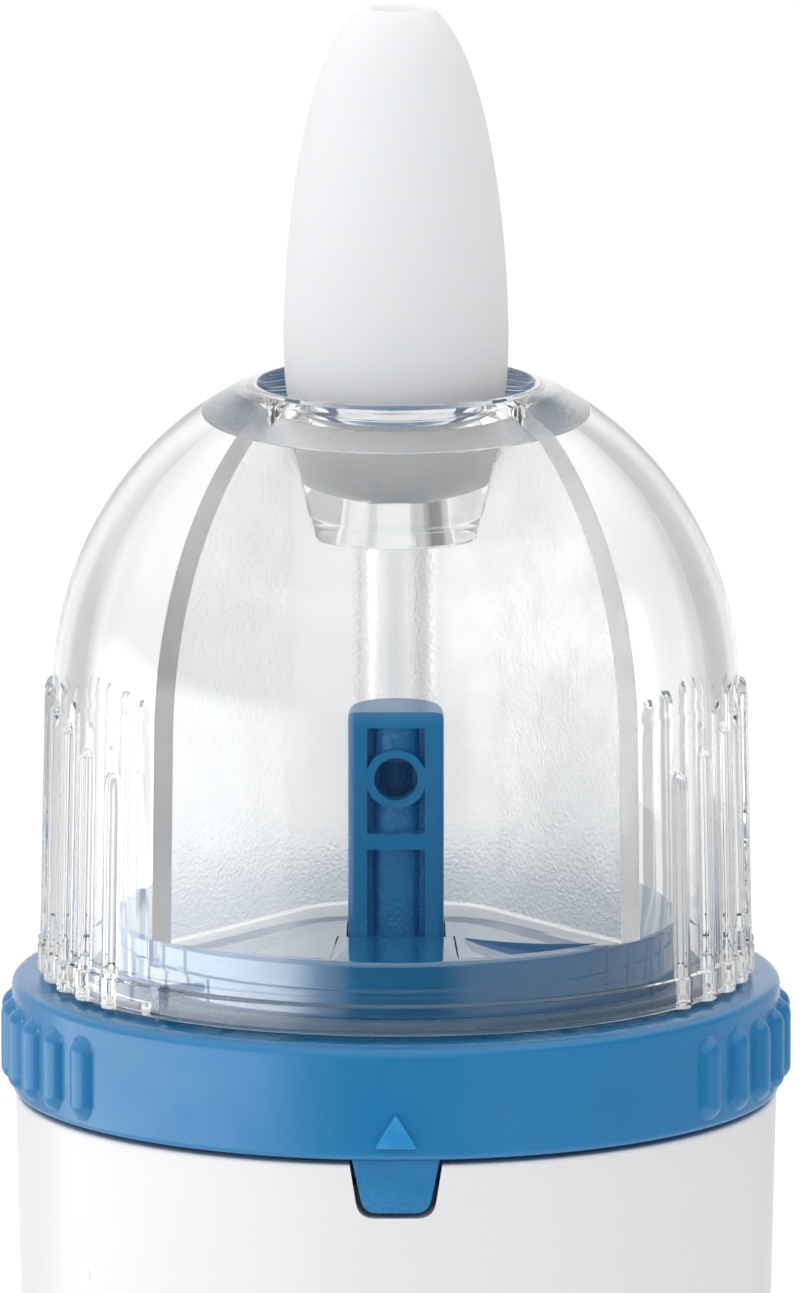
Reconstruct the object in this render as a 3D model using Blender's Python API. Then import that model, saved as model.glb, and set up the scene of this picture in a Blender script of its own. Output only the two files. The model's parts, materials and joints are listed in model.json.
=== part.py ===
"""Electric nasal aspirator: soft nose tip, clear collector cup, blue collector base and a
cordless handle with two AA cells, a flat motor and a three-chamber wobble pump.

Shapes are drawn in millimetres and stored in metres.  +Z is up, the front (thumb side) is -Y,
and the origin is the centre of the flat base that the aspirator stands on.
"""

import math

import bmesh
import bpy
from mathutils import Matrix, Vector

MM = 0.001

# Handle housing
HANDLE_TOP = 104.2
BASE_RADIUS = 19.6
TOP_RADIUS = 22.0
WALL = 1.8
HANDLE_SIDES = 40
SEAM_GAP = 0.3
SCREW_SITES = ((-15.0, 66.0), (15.0, 66.0), (-15.2, 96.0), (15.2, 96.0))

# Battery door in the back of the handle
DOOR_HALF_WIDTH = 13.0
DOOR_BOTTOM = 5.3
DOOR_TOP = 58.0

# Power button
BUTTON_Z = 79.0
BUTTON_RADIUS = 6.5
BUTTON_FRONT = -22.1

# Collector base: grip ring and raised plate in one moulding
RING_BOTTOM = 104.5
RING_TOP = 111.0
RING_RADIUS = 22.2
PLATE_TOP = 115.0
PLATE_RADIUS = 16.5
STUD_ANGLES = (-46.0, 134.0)
STUD_Z = 112.45
STUD_RADIUS = 0.35
TWIST = 25.0

# Collector dome
DOME_BOTTOM = 111.3
DOME_WALL = 1.9
SKIRT_RADIUS = 20.15
SHOULDER_RADIUS = 19.85
SHOULDER_Z = 127.2
CROWN_HEIGHT = 20.4
CROWN_POWER = 2.05
DOME_SIDES = 36
INNER_HEIGHT = 18.8
NECK_TOP = 145.7
CEILING_Z = 142.75
FUNNEL_BOTTOM = 136.5
INLET_Y = 3.0
INLET_BOTTOM = 126.6

# Vacuum post on the plate
POST_Y = -6.6
POST_HALF_WIDTH = 2.7
POST_FRONT = -8.8
POST_BACK = -4.5
POST_TOP = 128.0
PORT_Z = 124.2

# Nose tip
TIP_RADIUS = 6.48
TIP_WAIST_Z = 148.1
TIP_TOP = 167.5

# Battery bay
CELL_RADIUS = 7.1
CELL_LENGTH = 49.4
CELL_X = 7.35
CELL_Y = 5.5

# Motor and pump share one vertical axis
AXIS_Y = 1.5
MOTOR_RADIUS = 10.0
MOTOR_FLAT = 7.55
MOTOR_BOTTOM = 60.6
MOTOR_TOP = 83.0
PUMP_RADIUS = 11.0
PUMP_BOTTOM = 83.3
PIVOT_Z = 92.4
WOBBLE_TILT = math.atan2(0.9, 6.5)
CUP_CIRCLE = 5.0
CUP_ANGLES = (-90.0, 30.0, 150.0)
PUMP_SCREW_CIRCLE = 9.9


def clear_scene():
    for old in list(bpy.data.objects):
        bpy.data.objects.remove(old, do_unlink=True)


def material(name, colour, roughness, metallic=0.0, transmission=0.0):
    """A Principled material of one plain colour."""
    result = bpy.data.materials.new(name)
    result.use_nodes = True
    shader = result.node_tree.nodes["Principled BSDF"]
    shader.inputs["Base Color"].default_value = (*colour, 1.0)
    shader.inputs["Roughness"].default_value = roughness
    shader.inputs["Metallic"].default_value = metallic
    shader.inputs["Transmission Weight"].default_value = transmission
    result.diffuse_color = (*colour, 1.0)
    return result


# ---------------------------------------------------------------- shapes

def revolve(outline, segments, centre=(0.0, 0.0)):
    """Spin an (r, z) outline about a vertical axis; both ends may lie on that axis."""
    shape = bmesh.new()
    verts = [shape.verts.new((r, 0.0, z)) for r, z in outline]
    pairs = list(zip(verts, verts[1:]))
    if outline[0][0] > 0.0:
        pairs.append((verts[-1], verts[0]))
    edges = [shape.edges.new(pair) for pair in pairs]
    bmesh.ops.spin(shape, geom=verts + edges, cent=(0, 0, 0), axis=(0, 0, 1),
                   angle=math.tau, steps=segments, use_merge=True)
    bmesh.ops.remove_doubles(shape, verts=shape.verts, dist=1e-5)
    bmesh.ops.recalc_face_normals(shape, faces=shape.faces)
    bmesh.ops.translate(shape, vec=(*centre, 0.0), verts=shape.verts)
    return shape


def prism(outline, bottom, top):
    """Extrude a closed (x, y) outline along Z."""
    shape = bmesh.new()
    face = shape.faces.new([shape.verts.new((x, y, bottom)) for x, y in outline])
    grown = bmesh.ops.extrude_face_region(shape, geom=[face])["geom"]
    moved = [item for item in grown if isinstance(item, bmesh.types.BMVert)]
    bmesh.ops.translate(shape, vec=(0, 0, top - bottom), verts=moved)
    bmesh.ops.recalc_face_normals(shape, faces=shape.faces)
    return shape


def box(x_range, y_range, z_range):
    ranges = (x_range, y_range, z_range)
    middle = Vector([(low + high) / 2 for low, high in ranges])
    size = Vector([high - low for low, high in ranges])
    shape = bmesh.new()
    place = Matrix.Translation(middle) @ Matrix.Diagonal((*size, 1.0))
    bmesh.ops.create_cube(shape, size=1.0, matrix=place)
    return shape


def rod(radius, start, end, segments=12, end_radius=None):
    """A solid cylinder, or a cone, between two points."""
    start, end = Vector(start), Vector(end)
    run = end - start
    turn = run.to_track_quat("Z", "Y").to_matrix().to_4x4()
    shape = bmesh.new()
    bmesh.ops.create_cone(shape, cap_ends=True, segments=segments, radius1=radius,
                          radius2=radius if end_radius is None else end_radius,
                          depth=run.length, matrix=Matrix.Translation((start + end) / 2) @ turn)
    return shape


def tube(outer, inner, bottom, top, segments=16, centre=(0.0, 0.0)):
    outline = ((inner, bottom), (outer, bottom), (outer, top), (inner, top))
    return revolve(outline, segments, centre)


def pill(radius, bottom, top, foot, lean=0.0, segments=6):
    """An upright rounded bar; its top leans by a distance towards the axis."""
    outline = ((0.0, bottom), (radius, bottom + 0.5 * radius), (radius, top - 0.9 * radius),
               (0.6 * radius, top - 0.2 * radius), (0.0, top))
    shape = revolve(outline, segments)
    inward = -Vector((foot[0], foot[1], 0.0)).normalized()
    for vert in shape.verts:
        share = (vert.co.z - bottom) / (top - bottom)
        vert.co += Vector((foot[0], foot[1], 0.0)) + inward * lean * share
    return shape


def coil(wire, bottom, top, wide, narrow, turns, centre, sides=4, per_turn=9):
    """A conical spring of round wire, with plain cut ends."""
    shape = bmesh.new()
    rings = []
    count = int(turns * per_turn)
    for step in range(count + 1):
        share = step / count
        angle = math.tau * turns * share
        radius = wide + (narrow - wide) * share
        out = Vector((math.cos(angle), math.sin(angle), 0.0))
        height = bottom + wire + (top - bottom - 2 * wire) * share
        middle = Vector((*centre, height)) + out * radius
        ring = []
        for side in range(sides):
            roll = math.tau * side / sides
            offset = out * math.cos(roll) * wire + Vector((0, 0, math.sin(roll) * wire))
            ring.append(shape.verts.new(middle + offset))
        rings.append(ring)
    for low, high in zip(rings, rings[1:]):
        for side in range(sides):
            after = (side + 1) % sides
            shape.faces.new((low[side], low[after], high[after], high[side]))
    shape.faces.new(rings[0])
    shape.faces.new(rings[-1])
    bmesh.ops.recalc_face_normals(shape, faces=shape.faces)
    return shape


def together(shapes):
    """Several separate closed shapes in one bmesh."""
    joined = bmesh.new()
    for shape in shapes:
        scratch = bpy.data.meshes.new("scratch")
        shape.to_mesh(scratch)
        joined.from_mesh(scratch)
        shape.free()
        bpy.data.meshes.remove(scratch)
    return joined


def polar(radius, azimuth):
    """The (x, y) of a point at an azimuth in degrees from the front, positive to the right."""
    angle = math.radians(azimuth)
    return radius * math.sin(angle), -radius * math.cos(angle)


def on_circle(radius, angle, centre=(0.0, AXIS_Y)):
    """The (x, y) of a point on a circle, its angle in degrees counted from +X."""
    turn = math.radians(angle)
    return centre[0] + radius * math.cos(turn), centre[1] + radius * math.sin(turn)


# ---------------------------------------------------------------- objects

def to_object(name, shape, origin=(0.0, 0.0, 0.0)):
    """Turn a bmesh in millimetres into an object in metres with its origin at a point."""
    bmesh.ops.translate(shape, vec=-Vector(origin), verts=shape.verts)
    bmesh.ops.scale(shape, vec=(MM, MM, MM), verts=shape.verts)
    mesh = bpy.data.meshes.new(name)
    shape.to_mesh(mesh)
    shape.free()
    result = bpy.data.objects.new(name, mesh)
    result.location = Vector(origin) * MM
    bpy.context.scene.collection.objects.link(result)
    return result


def part(name, shape, look, origin=(0.0, 0.0, 0.0)):
    result = to_object(name, shape, origin)
    result.data.materials.append(look)
    return result


def combine(target, tool, operation):
    """Join a shape to an object, cut it away or keep the common volume, with an exact Boolean."""
    other = to_object("tool", tool)
    step = target.modifiers.new("step", "BOOLEAN")
    step.operation = operation
    step.object = other
    ready = target.evaluated_get(bpy.context.evaluated_depsgraph_get())
    mesh = bpy.data.meshes.new_from_object(ready)
    target.modifiers.clear()
    old = target.data
    target.data = mesh
    bpy.data.meshes.remove(old)
    mesh.name = target.name
    bpy.data.objects.remove(other, do_unlink=True)


def add(target, *tools):
    for tool in tools:
        combine(target, tool, "UNION")


def cut(target, *tools):
    for tool in tools:
        combine(target, tool, "DIFFERENCE")


def keep(target, tool):
    combine(target, tool, "INTERSECT")


# ---------------------------------------------------------------- handle

def handle_radius(z):
    return BASE_RADIUS + (TOP_RADIUS - BASE_RADIUS) * z / HANDLE_TOP


def handle_shell():
    """The whole housing before it is split: a tapered can with a rounded foot."""
    floor = 2.0
    outline = ((0.0, 0.0), (16.6, 0.0), (18.3, 0.5), (19.35, 1.7), (handle_radius(3.6), 3.6),
               (TOP_RADIUS, HANDLE_TOP), (TOP_RADIUS - WALL, HANDLE_TOP),
               (handle_radius(3.8) - WALL, 3.8), (16.4, floor), (0.0, floor))
    return revolve(outline, HANDLE_SIDES)


def trapezoid_notch(half_top, half_bottom, top, bottom, depth):
    """A wedge along Y through the front wall, wide side up."""
    outline = ((-half_top, top), (half_top, top), (half_bottom, bottom), (-half_bottom, bottom))
    shape = prism([(x, -z) for x, z in outline], depth[0], depth[1])
    bmesh.ops.rotate(shape, cent=(0, 0, 0), matrix=Matrix.Rotation(math.radians(-90), 3, "X"),
                     verts=shape.verts)
    bmesh.ops.recalc_face_normals(shape, faces=shape.faces)
    return shape


def housing_front(look):
    shell = part("housing_front", handle_shell(), look)
    keep(shell, box((-30, 30), (-30, -SEAM_GAP / 2), (-5, 120)))
    for x, z in SCREW_SITES:
        reach = -math.sqrt((handle_radius(z) - 0.9) ** 2 - (abs(x) + 1.2) ** 2)
        add(shell, rod(2.4, (x, reach, z), (x, -0.4, z), 10))
        cut(shell, rod(1.2, (x, -9.5, z), (x, 3.0, z), 10))
    cut(shell, rod(BUTTON_RADIUS + 0.3, (0, -25, BUTTON_Z), (0, -12, BUTTON_Z), 24))
    cut(shell, trapezoid_notch(2.85, 2.1, RING_BOTTOM + 1, RING_BOTTOM - 3.4, (-24, -16)))
    return shell


def housing_back(look):
    shell = part("housing_back", handle_shell(), look)
    keep(shell, box((-30, 30), (SEAM_GAP / 2, 30), (-5, 120)))
    for x, z in SCREW_SITES:
        reach = math.sqrt((handle_radius(z) - 0.9) ** 2 - (abs(x) + 1.2) ** 2)
        add(shell, rod(2.9, (x, 0.4, z), (x, reach, z), 10))
        cut(shell, rod(1.35, (x, -3, z), (x, 12, z), 10))
        cut(shell, rod(2.3, (x, 5.0, z), (x, 25, z), 12))
    cut(shell, box((-DOOR_HALF_WIDTH - 0.3, DOOR_HALF_WIDTH + 0.3), (8, 30),
                   (DOOR_BOTTOM - 0.3, DOOR_TOP + 0.5)))
    for row in range(3):
        z = 74.0 + 3.0 * row
        cut(shell, box((-5.0, 5.0), (10, 30), (z, z + 1.2)))
    return shell


def housing_screw(name, x, z, look):
    screw = part(name, rod(1.0, (x, -8.8, z), (x, 5.6, z), 10), look)
    add(screw, rod(1.9, (x, 5.3, z), (x, 6.9, z), 12))
    cut(screw, box((x - 0.25, x + 0.25), (6.3, 8.0), (z - 1.3, z + 1.3)))
    return screw


def battery_door(look):
    pivot = (0.0, handle_radius(DOOR_BOTTOM), DOOR_BOTTOM)
    door = part("battery_door", handle_shell(), look, pivot)
    keep(door, box((-DOOR_HALF_WIDTH, DOOR_HALF_WIDTH), (8, 30), (DOOR_BOTTOM, DOOR_TOP)))
    for side in (-1, 1):
        x_range = sorted((side * 3.0, side * 6.5))
        add(door, box(x_range, (14.6, 17.3), (5.7, 7.2)))
        add(door, box(x_range, (14.6, 15.6), (3.9, 7.0)))
    for row in range(4):
        z = 46.0 + 2.4 * row
        y = handle_radius(z) - 0.35
        add(door, rod(0.75, (-4.5, y, z), (4.5, y, z), 8))
    return door


def docking_deck(look):
    """Cover of the handle's top, with the turret and hollow nipple that the collector sits on."""
    outline = ((0.0, 107.4), (11.4, 107.4), (11.4, 101.0), (19.7, 101.0), (19.7, 102.6),
               (13.0, 102.6), (13.0, 108.6), (12.6, 109.0), (0.0, 109.0))
    deck = part("docking_deck", revolve(outline, 28), look)
    add(deck, rod(2.0, (0, POST_Y, 108.5), (0, POST_Y, 112.2), 16))
    add(deck, rod(1.3, (0, POST_Y, 103.4), (0, POST_Y, 107.9), 12))
    cut(deck, rod(0.8, (0, POST_Y, 100.0), (0, POST_Y, 115.0), 12))
    return deck


# ---------------------------------------------------------------- controls

def power_button(look):
    origin = (0.0, -17.3, BUTTON_Z)
    cap = rod(BUTTON_RADIUS, (0, BUTTON_FRONT + 0.8, BUTTON_Z), (0, -17.3, BUTTON_Z), 20)
    button = part("power_button", cap, look, origin)
    add(button, rod(BUTTON_RADIUS - 0.9, (0, BUTTON_FRONT, BUTTON_Z),
                    (0, BUTTON_FRONT + 0.9, BUTTON_Z), 20, BUTTON_RADIUS))
    add(button, rod(7.5, (0, -17.8, BUTTON_Z), (0, -16.8, BUTTON_Z), 20))
    add(button, rod(2.2, (0, -17.0, BUTTON_Z), (0, -16.2, BUTTON_Z), 12))
    return button


def tact_plunger(look):
    shape = rod(1.75, (0, -15.9, BUTTON_Z), (0, -13.4, BUTTON_Z), 12)
    return part("tact_plunger", shape, look, (0.0, -15.9, BUTTON_Z))


def tact_switch(look):
    switch = part("tact_switch", box((-3.1, 3.1), (-14.2, -10.9),
                                     (BUTTON_Z - 3.1, BUTTON_Z + 3.1)), look)
    cut(switch, rod(2.1, (0, -15, BUTTON_Z), (0, -12.4, BUTTON_Z), 12))
    return switch


def circuit_board(look):
    board = part("circuit_board", box((-10, 10), (-10.6, -9.4), (37.0, 82.4)), look)
    for side in (-1, 1):
        cut(board, rod(1.25, (side * 7, -12, 46), (side * 7, -8, 46), 10))
    return board


def board_screw(name, side, look):
    x = side * 7
    screw = part(name, rod(0.9, (x, -11.2, 46), (x, -5.2, 46), 10), look)
    add(screw, rod(1.8, (x, -12.1, 46), (x, -10.9, 46), 12))
    return screw


# ---------------------------------------------------------------- battery bay

def battery_tray(look):
    """Front wall of the battery bay with its top shelf and the two posts of the board."""
    tray = part("battery_tray", box((-16.0, 16.0), (-3.2, -2.0), (3.4, 59.0)), look)
    add(tray, rod(18.6, (0, 0, 58.6), (0, 0, 60.2), 28))
    cut(tray, box((-20, 20), (-20, -8.8), (58, 61)))
    for side in (-1, 1):
        add(tray, rod(2.2, (side * 7, -9.1, 46), (side * 7, -2.6, 46), 10))
        cut(tray, rod(1.2, (side * 7, -10, 46), (side * 7, -4.2, 46), 10))
    return tray


def battery(name, side, bottom, nub_up, look):
    x = side * CELL_X
    cell = part(name, rod(CELL_RADIUS, (x, CELL_Y, bottom), (x, CELL_Y, bottom + CELL_LENGTH),
                          20), look)
    start, end = (CELL_LENGTH - 0.4, CELL_LENGTH + 1.1) if nub_up else (-1.1, 0.4)
    add(cell, rod(2.7, (x, CELL_Y, bottom + start), (x, CELL_Y, bottom + end), 14))
    return cell


def battery_contacts(look):
    part("bridge_contact", box((-12.5, 12.5), (2.5, 8.5), (2.3, 2.7)), look)
    part("positive_contact", box((-CELL_X - 4, -CELL_X + 4), (2.5, 8.5), (57.9, 58.3)), look)
    part("negative_contact", box((CELL_X - 4, CELL_X + 4), (2.5, 8.5), (57.9, 58.3)), look)
    part("battery_spring_lower", coil(0.4, 3.0, 6.9, 4.4, 2.4, 3.5, (-CELL_X, CELL_Y)), look)
    part("battery_spring_upper", coil(0.4, 53.8, 57.6, 2.4, 4.4, 3.5, (CELL_X, CELL_Y)), look)


# ---------------------------------------------------------------- motor

def flat_sided(shape, name, flat, look):
    result = part(name, shape, look)
    keep(result, box((-15, 15), (AXIS_Y - flat, AXIS_Y + flat), (40, 100)))
    return result


def motor_can(look):
    bottom = MOTOR_BOTTOM + 4.2
    can = flat_sided(rod(MOTOR_RADIUS, (0, AXIS_Y, bottom), (0, AXIS_Y, MOTOR_TOP), 24),
                     "motor_can", MOTOR_FLAT, look)
    hollow = rod(MOTOR_RADIUS - 0.7, (0, AXIS_Y, bottom - 3), (0, AXIS_Y, MOTOR_TOP - 0.8), 24)
    core = to_object("core", hollow)
    keep(core, box((-15, 15), (AXIS_Y - MOTOR_FLAT + 0.7, AXIS_Y + MOTOR_FLAT - 0.7), (40, 100)))
    step = can.modifiers.new("step", "BOOLEAN")
    step.object = core
    ready = can.evaluated_get(bpy.context.evaluated_depsgraph_get())
    can.data = bpy.data.meshes.new_from_object(ready)
    can.modifiers.clear()
    bpy.data.objects.remove(core, do_unlink=True)
    cut(can, rod(1.5, (0, AXIS_Y, MOTOR_TOP - 3), (0, AXIS_Y, MOTOR_TOP + 2), 12))
    return can


def motor_end_cap(look):
    cap = flat_sided(rod(MOTOR_RADIUS - 0.1, (0, AXIS_Y, MOTOR_BOTTOM),
                         (0, AXIS_Y, MOTOR_BOTTOM + 3.9), 24),
                     "motor_end_cap", MOTOR_FLAT - 0.1, look)
    cut(cap, rod(1.3, (0, AXIS_Y, MOTOR_BOTTOM + 1), (0, AXIS_Y, 70), 12))
    return cap


def magnet(name, side, look):
    half_sweep = 48.0
    count = 6
    angles = [half_sweep * (2 * step / count - 1) for step in range(count + 1)]
    middle = 0.0 if side > 0 else 180.0
    outer = [on_circle(9.0, middle + angle) for angle in angles]
    inner = [on_circle(7.4, middle + angle) for angle in reversed(angles)]
    return part(name, prism(outer + inner, 67.0, 80.5), look)


def armature(look):
    """Three wound poles with slots between them, on the motor's shaft."""
    outline = []
    for pole in range(3):
        for angle, radius in ((-14, 3.4), (-14, 5.2), (-47, 5.5), (-45, 6.6), (-24, 6.6),
                              (0, 6.6), (24, 6.6), (45, 6.6), (47, 5.5), (14, 5.2), (14, 3.4)):
            outline.append(on_circle(radius, 120 * pole + angle))
    stack = part("armature", prism(outline, 68.2, 79.4), look, (0.0, AXIS_Y, 68.2))
    cut(stack, rod(1.3, (0, AXIS_Y, 60), (0, AXIS_Y, 90), 12))
    return stack


def commutator(look):
    return part("commutator", tube(2.6, 1.3, 65.2, 67.6, 12, (0.0, AXIS_Y)), look,
                (0.0, AXIS_Y, 65.2))


def motor_shaft(look):
    return part("motor_shaft", rod(1.0, (0, AXIS_Y, 62.2), (0, AXIS_Y, 86.0), 12), look,
                (0.0, AXIS_Y, 62.2))


# ---------------------------------------------------------------- pump

def pin_point(distance):
    """A point on the inclined crank pin's axis, below the wobble pivot by a distance."""
    return Vector((math.sin(WOBBLE_TILT) * distance, AXIS_Y,
                   PIVOT_Z - math.cos(WOBBLE_TILT) * distance))


def crank_wheel(look):
    wheel = part("crank_wheel", rod(4.4, (0, AXIS_Y, 84.9), (0, AXIS_Y, 88.6), 20), look,
                 (0.0, AXIS_Y, 84.9))
    cut(wheel, rod(1.3, (0, AXIS_Y, 83), (0, AXIS_Y, 86.3), 12))
    cut(wheel, rod(1.0, pin_point(5.75), pin_point(2.0), 10))
    return wheel


def crank_pin(look):
    return part("crank_pin", rod(0.7, pin_point(5.45), pin_point(1.25), 10), look,
                pin_point(5.45))


def wobble_plate(look):
    """Hub and three rounded arms, tilted about the pivot on the pump's axis."""
    outline = []
    for arm in range(3):
        for angle, radius in ((-60, 3.0), (-34, 3.4), (-20, 6.0), (-8, 6.6), (8, 6.6), (20, 6.0),
                              (34, 3.4)):
            outline.append(on_circle(radius, CUP_ANGLES[arm] + angle, (0.0, 0.0)))
    plate = prism(outline, -1.6, -0.6)
    hub = rod(1.9, (0, 0, -3.4), (0, 0, -1.0), 14)
    bore = rod(1.0, (0, 0, -4.0), (0, 0, -0.95), 10)
    tilt = Matrix.Translation((0.0, AXIS_Y, PIVOT_Z)) @ Matrix.Rotation(-WOBBLE_TILT, 4, "Y")
    for shape in (plate, hub, bore):
        bmesh.ops.transform(shape, matrix=tilt, verts=shape.verts)
    result = part("wobble_plate", plate, look, (0.0, AXIS_Y, PIVOT_Z))
    add(result, hub)
    cut(result, bore)
    return result


def pump_screw_places():
    return [on_circle(PUMP_SCREW_CIRCLE, angle + 180.0) for angle in CUP_ANGLES]


def cut_screw_holes(target, bottom, top):
    for x, y in pump_screw_places():
        cut(target, rod(0.75, (x, y, bottom), (x, y, top), 8))


def pump_base(look):
    outline = ((8.2, 84.5), (8.2, 93.6), (PUMP_RADIUS, 93.6), (PUMP_RADIUS, PUMP_BOTTOM),
               (2.0, PUMP_BOTTOM), (2.0, 84.5))
    base = part("pump_base", revolve(outline, 24, (0.0, AXIS_Y)), look)
    cut_screw_holes(base, 87.5, 95.0)
    return base


def diaphragm(look):
    sheet = part("diaphragm", rod(10.8, (0, AXIS_Y, 93.9), (0, AXIS_Y, 94.6), 24), look)
    for angle in CUP_ANGLES:
        x, y = on_circle(CUP_CIRCLE, angle)
        add(sheet, rod(2.3, (x, y, 92.85), (x, y, 94.0), 14, 2.9))
        cut(sheet, rod(2.2, (x, y, 93.5), (x, y, 95.5), 14))
    cut_screw_holes(sheet, 93.0, 96.0)
    return sheet


def valve_plate(look):
    plate = part("valve_plate", rod(10.8, (0, AXIS_Y, 94.9), (0, AXIS_Y, 96.3), 24), look)
    cut(plate, rod(0.75, (0, AXIS_Y, 94), (0, AXIS_Y, 97), 8))
    for angle in CUP_ANGLES:
        x, y = on_circle(CUP_CIRCLE, angle)
        cut(plate, rod(0.75, (x, y, 94), (x, y, 97), 8))
    cut_screw_holes(plate, 94.0, 97.0)
    return plate


def umbrella_valve(name, place, cap_bottom, cap_top, cap_radius, stem, look):
    x, y = place
    valve = part(name, rod(cap_radius, (x, y, cap_bottom), (x, y, cap_top), 14), look)
    middle = (cap_bottom + cap_top) / 2
    add(valve, rod(0.45, (x, y, middle), (x, y, stem), 8))
    return valve


def pump_cover(look):
    outline = ((0.0, 97.8), (8.6, 97.8), (8.6, 96.6), (PUMP_RADIUS, 96.6), (PUMP_RADIUS, 98.5),
               (10.7, 98.8), (0.0, 98.8))
    cover = part("pump_cover", revolve(outline, 24, (0.0, AXIS_Y)), look)
    add(cover, rod(1.3, (0, POST_Y, 98.3), (0, POST_Y, 101.6), 12))
    cut(cover, rod(0.7, (0, POST_Y, 97.0), (0, POST_Y, 103), 10))
    cut_screw_holes(cover, 96.0, 100.0)
    return cover


def pump_screw(name, place, look):
    x, y = place
    screw = part(name, rod(0.45, (x, y, 88.0), (x, y, 99.3), 8), look)
    add(screw, rod(1.0, (x, y, 99.1), (x, y, 100.0), 10))
    return screw


# ---------------------------------------------------------------- collector

def triangle_mark():
    """Raised alignment triangle on the front of the ring."""
    low, high, half = RING_BOTTOM + 0.6, RING_BOTTOM + 3.0, 1.5
    shape = prism([(-half, -low), (half, -low), (0.0, -high)], -RING_RADIUS - 0.3, -21.0)
    bmesh.ops.rotate(shape, cent=(0, 0, 0), matrix=Matrix.Rotation(math.radians(-90), 3, "X"),
                     verts=shape.verts)
    bmesh.ops.recalc_face_normals(shape, faces=shape.faces)
    return shape


def collector_base(look):
    """Grip ring, plate boss and keying tab moulded as one piece."""
    outline = ((0.0, 113.2), (14.7, 113.2), (14.7, 109.2), (18.6, 109.2), (18.6, 103.0),
               (19.9, 103.0), (19.9, RING_BOTTOM), (21.9, RING_BOTTOM),
               (RING_RADIUS, RING_BOTTOM + 0.4), (RING_RADIUS, RING_TOP - 0.5),
               (21.7, RING_TOP), (PLATE_RADIUS, RING_TOP), (PLATE_RADIUS, PLATE_TOP - 0.3),
               (PLATE_RADIUS - 0.3, PLATE_TOP), (0.0, PLATE_TOP))
    base = part("collector_base", revolve(outline, 40), look)
    ribs = [pill(0.95, RING_BOTTOM + 0.5, RING_BOTTOM + 5.4, polar(RING_RADIUS - 0.3, side * az))
            for side in (-1, 1) for az in range(54, 127, 8)]
    add(base, together(ribs))
    add(base, triangle_mark())
    tab = to_object("tab", trapezoid_notch(2.5, 1.85, RING_BOTTOM + 0.5, RING_BOTTOM - 3.1,
                                           (-23, -19.5)))
    keep(tab, tube(21.85, 20.0, RING_BOTTOM - 5, RING_BOTTOM + 2, 40))
    tab_shape = bmesh.new()
    tab_shape.from_mesh(tab.data)
    bmesh.ops.scale(tab_shape, vec=(1 / MM, 1 / MM, 1 / MM), verts=tab_shape.verts)
    bpy.data.objects.remove(tab, do_unlink=True)
    add(base, tab_shape)
    add(base, tube(4.9, 3.7, 109.4, 113.6, 20, (0.0, POST_Y)))
    cut(base, rod(1.2, (0, POST_Y, 110), (0, POST_Y, 116), 12))
    cut(base, prism([(-3.6, POST_BACK + 0.3), (3.6, POST_BACK + 0.3), (3.75, -15.3),
                     (-3.75, -15.3)], 114.0, 116.0))
    for azimuth in STUD_ANGLES:
        x, y = polar(16.0, azimuth)
        far_x, far_y = polar(18.6, azimuth)
        add(base, rod(STUD_RADIUS, (x, y, STUD_Z), (far_x, far_y, STUD_Z), 10))
        notch_x, notch_y = polar(PLATE_RADIUS + 0.25, azimuth - 8.0)
        cut(base, rod(0.6, (notch_x, notch_y, 113.4), (notch_x, notch_y, 116), 10))
    return base


def vacuum_post(look):
    """Hollow post that the pump draws through, on a thin foot let into the plate."""
    back = [(2.7, -6.0), (2.5, -5.1), (1.6, -4.6), (0.0, POST_BACK), (-1.6, -4.6), (-2.5, -5.1),
            (-2.7, -6.0)]
    outline = [(-POST_HALF_WIDTH, POST_FRONT), (POST_HALF_WIDTH, POST_FRONT)] + back
    post = part("vacuum_post", prism(outline, 114.6, POST_TOP), look)
    for low, high in ((115.6, 119.9), (120.9, 127.0)):
        cut(post, box((-1.65, 1.65), (-10, -7.7), (low, high)))
        add(post, rod(1.3, (0, -6.9, low - 0.2), (0, -6.9, high + 0.2), 12))
    add(post, rod(1.7, (0, POST_FRONT, PORT_Z), (0, -6.6, PORT_Z), 16))
    add(post, prism([(-3.3, POST_BACK), (3.3, POST_BACK), (3.45, -15.0), (-3.45, -15.0)],
                    114.3, PLATE_TOP))
    cut(post, rod(0.95, (0, POST_Y, 113), (0, POST_Y, PORT_Z + 0.6), 12))
    cut(post, rod(1.22, (0, -10, PORT_Z), (0, POST_Y, PORT_Z), 16))
    return post


def crown_radius(z, shoulder, height):
    share = (z - SHOULDER_Z) / height
    return shoulder * (1.0 - share ** CROWN_POWER) ** (1.0 / CROWN_POWER)


def crown(shoulder, height, top, steps):
    """Outline of the dome's rounded part from its shoulder up to a height."""
    levels = [SHOULDER_Z + (top - SHOULDER_Z) * math.sin(math.pi / 2 * step / steps)
              for step in range(steps + 1)]
    return [(crown_radius(z, shoulder, height), z) for z in levels]


def dome_shell():
    bowl = [(0.0, 139.4), (1.2, 139.5), (2.6, 140.0), (4.0, 141.0), (5.3, 142.4), (6.6, 144.2),
            (7.6, 145.3), (8.05, NECK_TOP), (8.42, NECK_TOP)]
    outside = crown(SHOULDER_RADIUS, CROWN_HEIGHT, 145.3, 7)
    inner_skirt = SKIRT_RADIUS - DOME_WALL
    inside = crown(SHOULDER_RADIUS - DOME_WALL, INNER_HEIGHT, CEILING_Z, 5)
    funnel = [(7.1, CEILING_Z), (5.55, 137.95), (5.3, 137.6), (5.0, FUNNEL_BOTTOM),
              (0.0, FUNNEL_BOTTOM)]
    outline = (bowl + list(reversed(outside)) + [(SKIRT_RADIUS, DOME_BOTTOM)]
               + [(inner_skirt, DOME_BOTTOM)] + inside + funnel)
    return revolve(outline, DOME_SIDES)


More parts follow.
